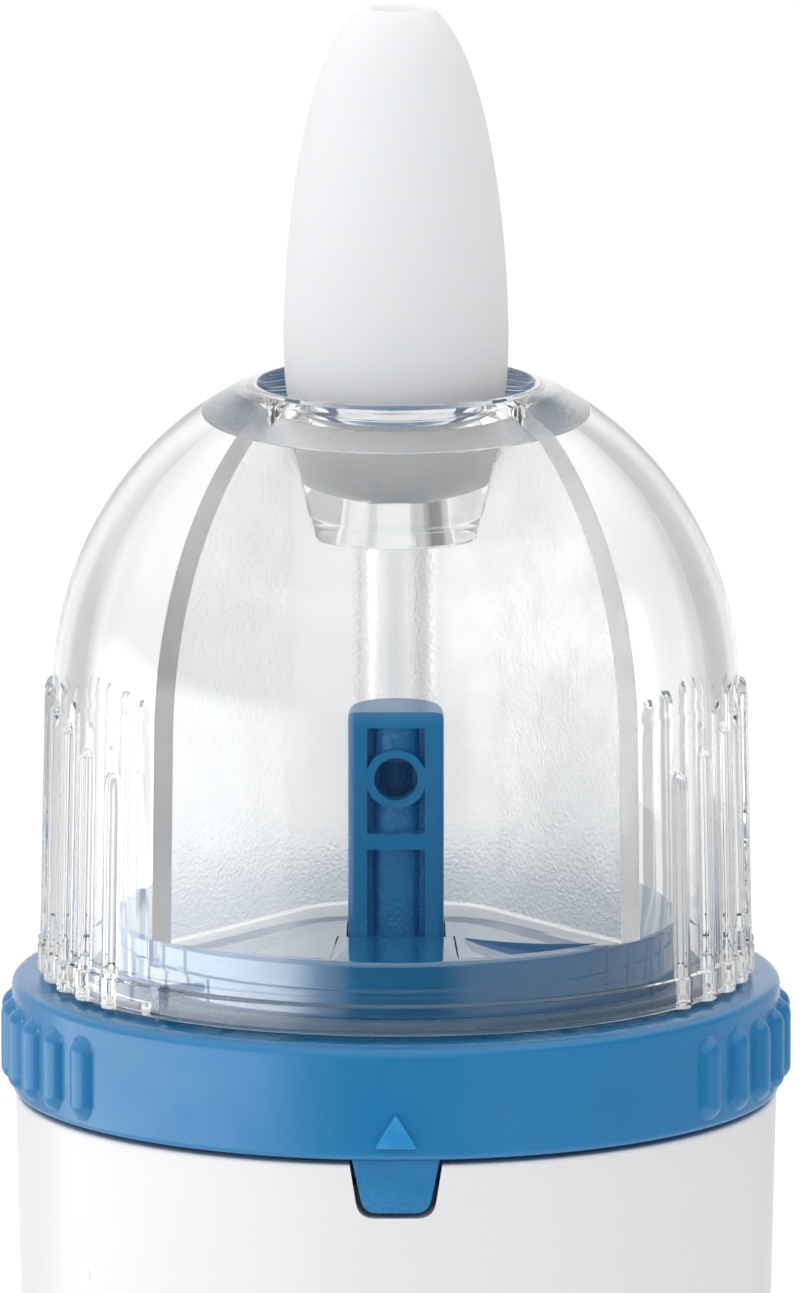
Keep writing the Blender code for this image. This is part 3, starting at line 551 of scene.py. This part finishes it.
def housing_back(look):
    shell = new_object("shell_back", handle_shell())
    combine(shell, "INTERSECT", box((-30, 30), (SEAM_GAP / 2, 30), (-5, 120)))
    for x, z in SCREW_SITES:
        reach = math.sqrt((handle_radius(z) - 0.9) ** 2 - (abs(x) + 1.2) ** 2)
        combine(shell, "UNION", rod(2.9, (x, 0.4, z), (x, reach, z)))
        combine(shell, "DIFFERENCE", rod(1.35, (x, -3, z), (x, 12, z)),
                rod(2.3, (x, 5.0, z), (x, 25, z), 36))
    combine(shell, "DIFFERENCE",
            box((-DOOR_HALF_WIDTH - 0.3, DOOR_HALF_WIDTH + 0.3), (8, 30),
                (DOOR_BOTTOM - 0.3, DOOR_TOP + 0.5)))
    for row in range(3):
        z = 74.6 + 3.0 * row
        slot = rounded([(-5.0, z - 0.6, 0.6), (5.0, z - 0.6, 0.6), (5.0, z + 0.6, 0.6),
                        (-5.0, z + 0.6, 0.6)], 5, closed=True)
        combine(shell, "DIFFERENCE", front_wedge(slot, 10, 30))
    return settle(shell, "handle", "handle_white", ["housing_back"], look)


def battery_door(look):
    door = new_object("door_panel", handle_shell())
    face = rounded([(-DOOR_HALF_WIDTH, DOOR_BOTTOM, 0.4), (DOOR_HALF_WIDTH, DOOR_BOTTOM, 0.4),
                    (DOOR_HALF_WIDTH, DOOR_TOP, 0.4), (-DOOR_HALF_WIDTH, DOOR_TOP, 0.4)], 4,
                   closed=True)
    combine(door, "INTERSECT", front_wedge(face, 8, 30))
    for side in (-1, 1):
        x_range = sorted((side * 3.0, side * 6.5))
        combine(door, "UNION", box(x_range, (14.6, 17.3), (5.7, 7.2)),
                box(x_range, (14.6, 15.6), (3.9, 7.0)))
    for row in range(4):
        z = 46.0 + 2.4 * row
        y = handle_radius(z) - 0.35
        outline = rounded([(0.0, -4.9, 0.0), (0.75, -4.9, 0.7), (0.75, 4.9, 0.7),
                           (0.0, 4.9, 0.0)], 6)
        rib = lathe(outline, even_azimuths(15.0))
        bmesh.ops.rotate(rib, cent=(0, 0, 0), matrix=Matrix.Rotation(math.pi / 2, 3, "Y"),
                         verts=rib.verts)
        bmesh.ops.translate(rib, vec=(0, y * MM, z * MM), verts=rib.verts)
        combine(door, "UNION", rib)
    return settle(door, "door", "handle_white", ["battery_door"], look)


def power_button(look):
    corners = [(0.0, 4.75, 0.0), (3.5, 4.65, 1.5), (5.6, 4.78, 0.7), (BUTTON_RADIUS, 4.0, 0.5),
               (BUTTON_RADIUS, 0.5, 0.1), (7.5, 0.5, 0.15), (7.5, -0.5, 0.15), (2.2, -0.5, 0.1),
               (2.2, -1.1, 0.15), (0.0, -1.1, 0.0)]
    shape = lathe(rounded(corners, 6), even_azimuths(5.0))
    bmesh.ops.rotate(shape, cent=(0, 0, 0), matrix=Matrix.Rotation(math.pi / 2, 3, "X"),
                     verts=shape.verts)
    bmesh.ops.translate(shape, vec=(0, BUTTON_AXIS_Y * MM, BUTTON_Z * MM), verts=shape.verts)
    return settle(new_object("button_cap", shape), "button", "collector_blue",
                  ["power_button"], look)


# ---------------------------------------------------------------- collector base

def capsule_height(radius, sunk, across, along, half_length):
    """Height above the wall of a rounded bar sunk into it, at a point beside its centre line."""
    beyond = max(0.0, abs(along) - half_length)
    distance = math.hypot(across, beyond)
    if distance >= radius:
        return 0.0
    return max(0.0, math.sqrt(radius * radius - distance * distance) - sunk)


def ring_lift(azimuth, r, z):
    if r < 21.6 or z > RING_TOP:
        return 0.0
    low, high = RING_BOTTOM + 0.5, RING_BOTTOM + 5.4
    middle, half = (low + high) / 2, (high - low) / 2 - RING_RIB
    nearest = min(RING_RIB_AZIMUTHS, key=lambda place: abs(abs(azimuth) - place))
    across = math.radians(abs(azimuth) - nearest) * RING_RADIUS
    return capsule_height(RING_RIB, 0.3, across, z - middle, half)


def base_outline():
    corners = [(0.0, 113.2, 0.0), (14.7, 113.2, 0.3), (14.7, 109.2, 0.3), (18.6, 109.2, 0.3),
               (18.6, 103.0, 0.15), (19.9, 103.0, 0.15), (19.9, RING_BOTTOM, 0.1),
               (RING_RADIUS, RING_BOTTOM, 0.35), (RING_RADIUS, RING_TOP, 0.6),
               (PLATE_RADIUS, RING_TOP, 0.25), (PLATE_RADIUS, PLATE_TOP, 0.32),
               (0.0, PLATE_TOP, 0.0)]

    def on_ring(r, z):
        return r > 22.0 and RING_BOTTOM < z < RING_TOP

    return refine(rounded(corners, 5), 0.16, on_ring)


def seam_paths():
    """The fine joint between the raised plate top and the tongue in front of the post."""
    inner, outer, root = 3.28, 3.62, POST_FRONT + 0.1
    left = [polar(SEAM_RADIUS, azimuth) for azimuth in range(-30, -13, 2)]
    left += [polar(SEAM_RADIUS, -13.2), (-inner, root), (-POST_HALF_WIDTH + 0.1, root)]
    right = [(POST_HALF_WIDTH - 0.1, root), (inner, root), polar(SEAM_RADIUS, 12.6)]
    right += [polar(SEAM_RADIUS, azimuth) for azimuth in range(14, 41, 2)]
    return left, right


def thumb_scoop():
    """Shallow crescent dip in the plate's front right, deepest at its front edge."""
    count = 14
    front = [polar(15.55, 19.0 + (46.5 - 19.0) * step / count) for step in range(count + 1)]
    start, bend, end = Vector(front[-1]), Vector((7.4, -11.6)), Vector((3.9, -9.2))
    back = []
    for step in range(1, count + 1):
        t = step / count
        point = start * (1 - t) ** 2 + bend * 2 * t * (1 - t) + end * t * t
        back.append((point.x, point.y))
    corner = [(3.85, -10.6), (4.2, -13.2)]

    def floor(x, y):
        return PLATE_TOP - 0.03 - 0.14 * max(0.0, math.hypot(x, y) - 9.9)

    return prism(front + back + corner, floor, PLATE_TOP + 1.0)


def collector_base(satin, gloss_painted_lit, painted_lit_mark):
    azimuths = grip_azimuths(50.0, 130.0, 0.32, 2.0)
    base = new_object("base_moulding", lathe(base_outline(), azimuths, ring_lift))
    low, high, half = RING_BOTTOM + 0.6, RING_BOTTOM + 3.05, 1.5
    mark = rounded([(-half, low, 0.25), (half, low, 0.25), (0.0, high, 0.25)], 4, closed=True)
    raised = front_wedge(mark, -21.0, -RING_RADIUS - MARK_HEIGHT, 0.80)
    combine(base, "UNION", soften(raised, 0.07, 2, 20.0),
            lathe([(3.7, 109.4), (4.9, 109.4), (4.9, 113.6), (3.7, 113.6)],
                  even_azimuths(10.0), centre=(0.0, POST_Y), closed=True))
    for azimuth in STUD_ANGLES:
        x, y = polar(16.0, azimuth)
        far_x, far_y = polar(18.6, azimuth)
        notch_x, notch_y = polar(PLATE_RADIUS + 0.25, azimuth - 8.0)
        stud = rod(STUD_RADIUS, (x, y, STUD_Z), (far_x, far_y, STUD_Z))
        combine(base, "UNION", soften(stud, 0.1))
        combine(base, "DIFFERENCE", rod(0.6, (notch_x, notch_y, 113.4), (notch_x, notch_y, 116)))
    left, right = seam_paths()
    combine(base, "DIFFERENCE", rod(1.2, (0, POST_Y, 110), (0, POST_Y, 116)),
            box((-2.8, 2.8), (POST_FRONT - 0.1, POST_BACK + 0.1), (114.0, 116.0)))
    combine(base, "DIFFERENCE", ribbon(left, 0.10, PLATE_TOP - 0.25, PLATE_TOP + 1))
    combine(base, "DIFFERENCE", ribbon(right, 0.10, PLATE_TOP - 0.25, PLATE_TOP + 1))
    combine(base, "DIFFERENCE", thumb_scoop())
    settle(base, "collector", "collector_blue", ["collector_base"], satin, gloss_painted_lit, painted_lit_mark)
    # The plate gets the glossy look in the lighter blue, which is painted light on the plate.
    for face in base.data.polygons:
        middle = face.center / MM
        if middle.z > RING_TOP + 0.1 and math.hypot(middle.x, middle.y) < PLATE_RADIUS + 0.1:
            face.material_index = 1
        # The raised mark's face gets the lighter post blue, a painted highlight.
        if abs(middle.x) < half and middle.y < -RING_RADIUS - 0.02 and low < middle.z < high:
            face.material_index = 2
    return base


def keying_tab(look):
    """Tapered tab under the grip ring, which keys into the top of the handle."""
    face = tab_outline(2.5, 1.85, RING_BOTTOM - 0.02, RING_BOTTOM - 3.1, 0.75)
    tab = new_object("keying_tab", front_wedge(face, -16.0, -24.0))
    band = [(19.95, RING_BOTTOM - 5.0), (21.85, RING_BOTTOM - 5.0), (21.85, RING_BOTTOM + 2.0),
            (19.95, RING_BOTTOM + 2.0)]
    combine(tab, "INTERSECT", lathe(band, even_azimuths(1.0), closed=True))
    soften_object(tab, 0.12, 3, 50.0)
    return settle(tab, "collector", "collector_blue", ["collector_base"], look)


def vacuum_post(satin, grained_painted_lit):
    """Flat-fronted post with a rounded back, two pockets and a port over a hollow column."""
    count = 20
    deep = POST_BACK - POST_WIDEST
    bend = [(POST_HALF_WIDTH * math.cos(math.pi * step / count),
             POST_WIDEST + deep * math.sin(math.pi * step / count)) for step in range(count + 1)]
    front = rounded([(-POST_HALF_WIDTH, POST_WIDEST, 0.0), (-POST_HALF_WIDTH, POST_FRONT, 0.5),
                     (POST_HALF_WIDTH, POST_FRONT, 0.5), (POST_HALF_WIDTH, POST_WIDEST, 0.0)], 6)
    outline = front[:-1] + bend[:-1]
    post = new_object("post_moulding", prism(outline, 114.1, POST_TOP))
    face = rounded([(-POST_HALF_WIDTH, 112.0, 0.0), (POST_HALF_WIDTH, 112.0, 0.0),
                    (POST_HALF_WIDTH, POST_TOP, 0.5), (-POST_HALF_WIDTH, POST_TOP, 0.5)], 5,
                   closed=True)
    combine(post, "INTERSECT", front_wedge(face, 0.0, -12.0))
    half = POCKET_HALF_WIDTH
    for low, high in POCKETS:
        pocket = rounded([(-half, low, 0.12), (half, low, 0.12), (half, high, 0.12),
                          (-half, high, 0.12)], 3, closed=True)
        combine(post, "DIFFERENCE", front_wedge(pocket, -7.5, -10.0, 1.03))
        combine(post, "UNION", rod(COLUMN_RADIUS, (0, COLUMN_Y, low - 0.2),
                                   (0, COLUMN_Y, high + 0.2), 48))
    ring = rod(1.72, (0, POST_FRONT + 0.02, PORT_Z), (0, -6.6, PORT_Z), 48)
    combine(post, "UNION", ring)
    combine(post, "DIFFERENCE", rod(0.95, (0, POST_Y, 113), (0, POST_Y, PORT_Z + 0.6), 36),
            rod(1.23, (0, -10, PORT_Z), (0, POST_Y, PORT_Z), 48))
    soften_object(post, 0.09, 2, 50.0)
    # The post's satin look is a lighter blue copy of the ring's, painted light.
    settle(post, "collector", "collector_blue", ["vacuum_post"], satin, grained_painted_lit)
    # The pocket floors and column get the grained look, whose lighter blue is painted light.
    for face in post.data.polygons:
        middle = face.center / MM
        if middle.y > -8.6 and abs(middle.x) < 1.58 and middle.z < POST_TOP - 0.7:
            face.material_index = 1
    return post


# ---------------------------------------------------------------- dome

def crown_radius(z, shoulder, height):
    share = (z - SHOULDER_Z) / height
    return shoulder * (1.0 - share ** CROWN_POWER) ** (1.0 / CROWN_POWER)


def crown(shoulder, height, top, steps):
    levels = [SHOULDER_Z + (top - SHOULDER_Z) * math.sin(math.pi / 2 * step / steps)
              for step in range(steps + 1)]
    return [(crown_radius(z, shoulder, height), z) for z in levels]


def rib_top(azimuth):
    share = abs(90.0 - abs(azimuth)) / 35.5
    return RING_BOTTOM + 24.0 - 3.5 * share ** 1.4


def dome_lift(azimuth, r, z):
    if r < 18.9 or z > 130.0:
        return 0.0
    nearest = min(DOME_RIB_AZIMUTHS, key=lambda place: abs(abs(azimuth) - place))
    across = math.radians(abs(azimuth) - nearest) * SKIRT_RADIUS
    low, high = DOME_BOTTOM - 2.0, rib_top(nearest)
    middle, half = (low + high) / 2, (high - low) / 2 - DOME_RIB
    return capsule_height(DOME_RIB, 0.2, across, z - middle, half)


def dome_outline():
    inner_skirt = SKIRT_RADIUS - DOME_WALL
    outside = crown(SHOULDER_RADIUS, CROWN_HEIGHT, RIM_Z, 26)
    inside = crown(SHOULDER_RADIUS - DOME_WALL, INNER_HEIGHT, CEILING_Z, 18)
    skirt = rounded([(SKIRT_RADIUS - 0.02, 113.6, 0.0), (SKIRT_RADIUS - 0.02, 113.15, 0.08),
                     (SKIRT_RADIUS + 0.14, 113.0, 0.08), (SKIRT_RADIUS + 0.14, DOME_BOTTOM, 0.3),
                     (inner_skirt, DOME_BOTTOM, 0.25), (inner_skirt - 0.02, 113.0, 0.0)], 4)
    bowl = rounded(BOWL + ((8.05, NECK_TOP, 0.15), (8.42, NECK_TOP, 0.12), (8.52, 145.5, 0.1),
                           (crown_radius(RIM_Z, SHOULDER_RADIUS, CROWN_HEIGHT), RIM_Z, 0.0)), 6)
    funnel = rounded([inside[-2] + (0.0,), (inside[-1][0], CEILING_Z, 0.3),
                      (7.1, CEILING_Z, 0.3), (5.55, 137.95, 0.2), (5.3, 137.6, 0.2),
                      (5.0, FUNNEL_BOTTOM, 0.3), (0.0, FUNNEL_BOTTOM, 0.0)], 5)
    outline = bowl[:-1] + list(reversed(outside)) + skirt + inside[:-1] + funnel[1:]

    def straight_wall(r, z):
        return r > 19.0 and 113.2 < z < 124.6

    def rib_tops(r, z):
        return r > 19.0 and 124.6 < z < 129.0

    return refine(refine(outline, 0.9, straight_wall), 0.2, rib_tops)


def partition_shapes():
    """Upright wall, straight behind the post and swept forward as two straight wings."""
    count = 24
    lean = PARTITION_LEAN
    sweep = [lean + (math.pi / 2 - lean) * step / count for step in range(count + 1)]
    along = Vector((math.sin(lean), -math.cos(lean)))

    def side(offset):
        reach = PARTITION_RADIUS + offset
        bend = [(PARTITION_FLAT + reach * math.cos(a),
                 PARTITION_REAR - PARTITION_RADIUS + reach * math.sin(a)) for a in sweep]
        right = [tuple(Vector(bend[0]) + along * 14.0)] + bend
        return right + [(-x, y) for x, y in reversed(right)]

    half = PARTITION_HALF
    outline = side(half) + list(reversed(side(-half)))
    wall = new_object("wall", prism(outline, 110.0, 150.0))
    middle = DOME_WALL / 2
    mask = [(0.0, 137.4), (4.6, 137.4), (5.0, 138.4), (6.3, 143.3)]
    mask += list(reversed(crown(SHOULDER_RADIUS - middle, INNER_HEIGHT + 0.8, 143.3, 18)))
    mask += [(SKIRT_RADIUS - middle, 115.5), (0.0, 115.5)]
    combine(wall, "INTERSECT", lathe(mask, even_azimuths(3.0)))
    shape = bmesh.new()
    shape.from_mesh(wall.data)
    bpy.data.objects.remove(wall, do_unlink=True)
    return shape


def bayonet_slot(azimuth):
    inner = SKIRT_RADIUS - DOME_WALL - 0.4
    outer = inner + 1.05

    def sector(start, end, bottom, top):
        count = max(4, int((end - start) / 1.5))
        angles = [start + (end - start) * step / count for step in range(count + 1)]
        points = [polar(outer, a) for a in angles] + [polar(inner, a) for a in reversed(angles)]
        return prism(points, bottom, top)

    reach = STUD_RADIUS + 0.25
    return (sector(azimuth - 2.1, azimuth + 2.1, DOME_BOTTOM - 1.0, STUD_Z + reach),
            sector(azimuth - TWIST - 2.1, azimuth + 2.1, STUD_Z - reach, STUD_Z + reach))


def partition_distance(x, y):
    """How far a point in plan lies from the middle of the partition's wall."""
    across, back = abs(x) - PARTITION_FLAT, y - PARTITION_REAR + PARTITION_RADIUS
    if across < 0.0:
        return abs(y - PARTITION_REAR)
    if math.atan2(back, across) > PARTITION_LEAN:
        return abs(math.hypot(across, back) - PARTITION_RADIUS)
    outward = across * math.cos(PARTITION_LEAN) + back * math.sin(PARTITION_LEAN)
    return abs(outward - PARTITION_RADIUS)


def collector_dome(clear, frosted, hazed):
    """Clear moulding; the partition's flats are finely frosted and the neck's ceiling hazed."""
    azimuths = grip_azimuths(51.0, 129.0, 0.36, 3.0)
    dome = new_object("dome_clear", lathe(dome_outline(), azimuths, dome_lift))
    combine(dome, "UNION", partition_shapes())
    combine(dome, "UNION", rod(2.3, (0, INLET_Y, INLET_BOTTOM), (0, INLET_Y, 137.5), 48))
    combine(dome, "DIFFERENCE",
            rod(1.4, (0, INLET_Y, INLET_BOTTOM - 2), (0, INLET_Y, 142.0), 40))
    for azimuth in STUD_ANGLES:
        combine(dome, "DIFFERENCE", *bayonet_slot(azimuth))
    settle(dome, "dome", "clear_plastic", ["collector_dome"], clear, frosted, hazed)
    inner_skirt = SKIRT_RADIUS - DOME_WALL
    for face in dome.data.polygons:
        middle = face.center / MM
        if abs(middle.z - CEILING_Z) < 0.01 and face.normal.z < -0.99:
            face.material_index = 2
        if not 116.0 < middle.z < CEILING_Z - 0.1:
            continue
        if math.hypot(middle.x, middle.y) > inner_skirt - 0.05:
            continue
        depth = abs(partition_distance(middle.x, middle.y) - PARTITION_HALF)
        if abs(face.normal.z) < 0.05 and depth < 0.02:
            face.material_index = 1
    return dome


def cup_seal(look):
    corners = [(16.8, 111.3, 0.2), (17.95, 111.3, 0.2), (17.95, 111.85, 0.2), (16.8, 111.85, 0.2)]
    shape = lathe(rounded(corners, 4, closed=True), even_azimuths(2.0), closed=True)
    return settle(new_object("seal_ring", shape), "seal", "seal_silicone", ["cup_seal"], look)


def nose_tip(look, foot_painted_lit_look):
    """Soft cone; its foot sits in the bowl, pressed in by a hair so that no gap shows."""
    count = 36
    seat = [(r + TIP_PRESS, z - TIP_PRESS, fillet) for r, z, fillet in BOWL[1:5]]
    foot = rounded([(1.0, 141.0, 0.0), (1.0, 139.42, 0.1)] + seat
                   + [(6.1, FOOT_TOP, 0.8), (6.35, 145.4, 0.6), (6.42, 146.4, 0.6),
                      (TIP_RADIUS, TIP_WAIST_Z, 0.0)], 6)
    outline = foot[:-1]
    for step in range(count):
        rise = TIP_STRAIGHT * math.sin(math.pi / 2 * step / count)
        outline.append((TIP_RADIUS * (1.0 - (rise / TIP_LENGTH) ** 1.87) ** 0.40,
                        TIP_WAIST_Z + rise))
    outline += rounded([(2.5, TIP_WAIST_Z + TIP_STRAIGHT, 0.0), (2.2, TIP_TOP - 0.05, 0.35),
                        (1.35, TIP_TOP - 0.02, 0.3), (1.0, 165.5, 0.0)], 5)
    shape = lathe(outline, even_azimuths(3.0), closed=True)
    tip = settle(new_object("tip_soft", shape), "tip", "white_silicone", ["nose_tip"], look,
                 foot_painted_lit_look)
    # The foot below FOOT_TOP gets the lighter silicone, painted light on the shaded foot.
    for face in tip.data.polygons:
        if face.center.z / MM < FOOT_TOP:
            face.material_index = 1
    return tip


# ---------------------------------------------------------------- stage

def make_floor():
    look = Surface("floor_paper", (0.97, 0.97, 0.97), 0.9)
    look.set("Specular IOR Level", 0.0).mottled(0.002, 0.004)
    half = FLOOR_HALF
    mesh = bpy.data.meshes.new("floor")
    mesh.from_pydata([(-half, -half, 0), (half, -half, 0), (half, half, 0), (-half, half, 0)],
                     [], [(0, 1, 2, 3)])
    floor = bpy.data.objects.new("floor", mesh)
    floor.location.z = -FLOOR_DROP
    floor.visible_glossy = False
    floor.visible_transmission = False
    floor.data.materials.append(look.material)
    bpy.context.scene.collection.objects.link(floor)


def azimuth_ramp(tree, share, stops, strength):
    """Brightness round the horizon, from (azimuth, brightness) stops."""
    ramp = tree.nodes.new("ShaderNodeValToRGB")
    ramp.color_ramp.interpolation = "EASE"
    elements = ramp.color_ramp.elements
    while len(elements) < len(stops):
        elements.new(0.5)
    for element, (azimuth, value) in zip(elements, stops):
        element.position = (azimuth + 180.0) / 360.0
        element.color = (*[value / strength] * 3, 1.0)
    tree.links.new(share.outputs["Result"], ramp.inputs["Fac"])
    return ramp.outputs["Color"]


def blend_by_height(tree, height, low, high, below, above):
    """Cross-fade between two colours as the direction rises."""
    rise = tree.nodes.new("ShaderNodeMapRange")
    rise.interpolation_type = "SMOOTHSTEP"
    rise.inputs["From Min"].default_value = low
    rise.inputs["From Max"].default_value = high
    tree.links.new(height, rise.inputs["Value"])
    mix = tree.nodes.new("ShaderNodeMix")
    mix.data_type = "RGBA"
    colours = [item for item in mix.inputs if item.type == "RGBA"]
    tree.links.new(rise.outputs["Result"], mix.inputs["Factor"])
    for socket, value in zip(colours, (below, above)):
        if isinstance(value, bpy.types.NodeSocket):
            tree.links.new(value, socket)
        else:
            socket.default_value = (value, value, value, 1.0)
    return [item for item in mix.outputs if item.type == "RGBA"][0]


def make_light():
    """A wide soft panel on the left, a darker front, softer white to the right and behind."""
    world = bpy.data.worlds.new("studio")
    bpy.context.scene.world = world
    world.use_nodes = True
    tree = world.node_tree
    place = tree.nodes.new("ShaderNodeTexCoord")
    split = tree.nodes.new("ShaderNodeSeparateXYZ")
    tree.links.new(place.outputs["Generated"], split.inputs["Vector"])
    flip = tree.nodes.new("ShaderNodeMath")
    flip.operation = "MULTIPLY"
    flip.inputs[1].default_value = -1.0
    tree.links.new(split.outputs["Y"], flip.inputs[0])
    turn = tree.nodes.new("ShaderNodeMath")
    turn.operation = "ARCTAN2"
    tree.links.new(split.outputs["X"], turn.inputs[0])
    tree.links.new(flip.outputs["Value"], turn.inputs[1])
    share = tree.nodes.new("ShaderNodeMapRange")
    share.inputs["From Min"].default_value = -math.pi
    share.inputs["From Max"].default_value = math.pi
    tree.links.new(turn.outputs["Value"], share.inputs["Value"])
    strength = LIGHT_STRENGTH
    cards = azimuth_ramp(tree, share, CARD_STOPS, strength)
    sides = azimuth_ramp(tree, share, SIDE_STOPS, strength)
    height = split.outputs["Z"]
    deep = blend_by_height(tree, height, -0.46, -0.32, LOW_LIGHT / strength, cards)
    lower = blend_by_height(tree, height, -0.02, 0.10, deep, sides)
    whole = blend_by_height(tree, height, 0.36, 0.66, lower, TOP_LIGHT / strength)
    background = tree.nodes["Background"]
    tree.links.new(whole, background.inputs["Color"])
    background.inputs["Strength"].default_value = strength


def make_camera():
    """Long lens a little above the collector, level with the photographer's eye line."""
    camera = bpy.data.objects.new("camera", bpy.data.cameras.new("camera"))
    camera.data.lens = LENS
    camera.data.sensor_width = SENSOR_WIDTH
    camera.data.clip_end = 100.0
    back = Vector((0.0, -math.cos(CAMERA_ELEVATION), math.sin(CAMERA_ELEVATION)))
    camera.location = Vector(CAMERA_AIM) + back * CAMERA_DISTANCE
    camera.rotation_euler = (-back).to_track_quat("-Z", "Y").to_euler()
    bpy.context.scene.collection.objects.link(camera)
    bpy.context.scene.camera = camera


def set_render():
    scene = bpy.context.scene
    scene.view_settings.view_transform = "Standard"
    scene.cycles.max_bounces = 24
    scene.cycles.transmission_bounces = 24
    scene.cycles.glossy_bounces = 12
    scene.cycles.diffuse_bounces = 6


def dress_cad(looks):
    """Materials for the CAD nodes that are shown as they are."""
    chosen = {"collector_blue": "blue_satin", "clear_plastic": "clear"}
    for row in frame["record"]["subparts"]:
        slot = row["material_slot"]
        node = frame["nodes"][row["node"]]
        for place in range(len(node.data.materials)):
            node.data.materials[place] = looks[chosen.get(slot, slot)]


def main():
    looks = make_materials()
    dress_cad(looks)
    housing_front(looks["handle_white"])
    housing_back(looks["handle_white"])
    battery_door(looks["handle_white"])
    power_button(looks["blue_satin"])
    collector_base(looks["blue_satin"], looks["blue_gloss_painted_lit"], looks["blue_post_painted_lit"])
    keying_tab(looks["blue_tab"])
    vacuum_post(looks["blue_post_painted_lit"], looks["blue_grained_painted_lit"])
    collector_dome(looks["clear"], looks["frosted"], looks["hazed"])
    cup_seal(looks["seal_silicone"])
    nose_tip(looks["white_silicone"], looks["foot_silicone_painted_lit"])
    make_floor()
    make_light()
    make_camera()
    set_render()


main()
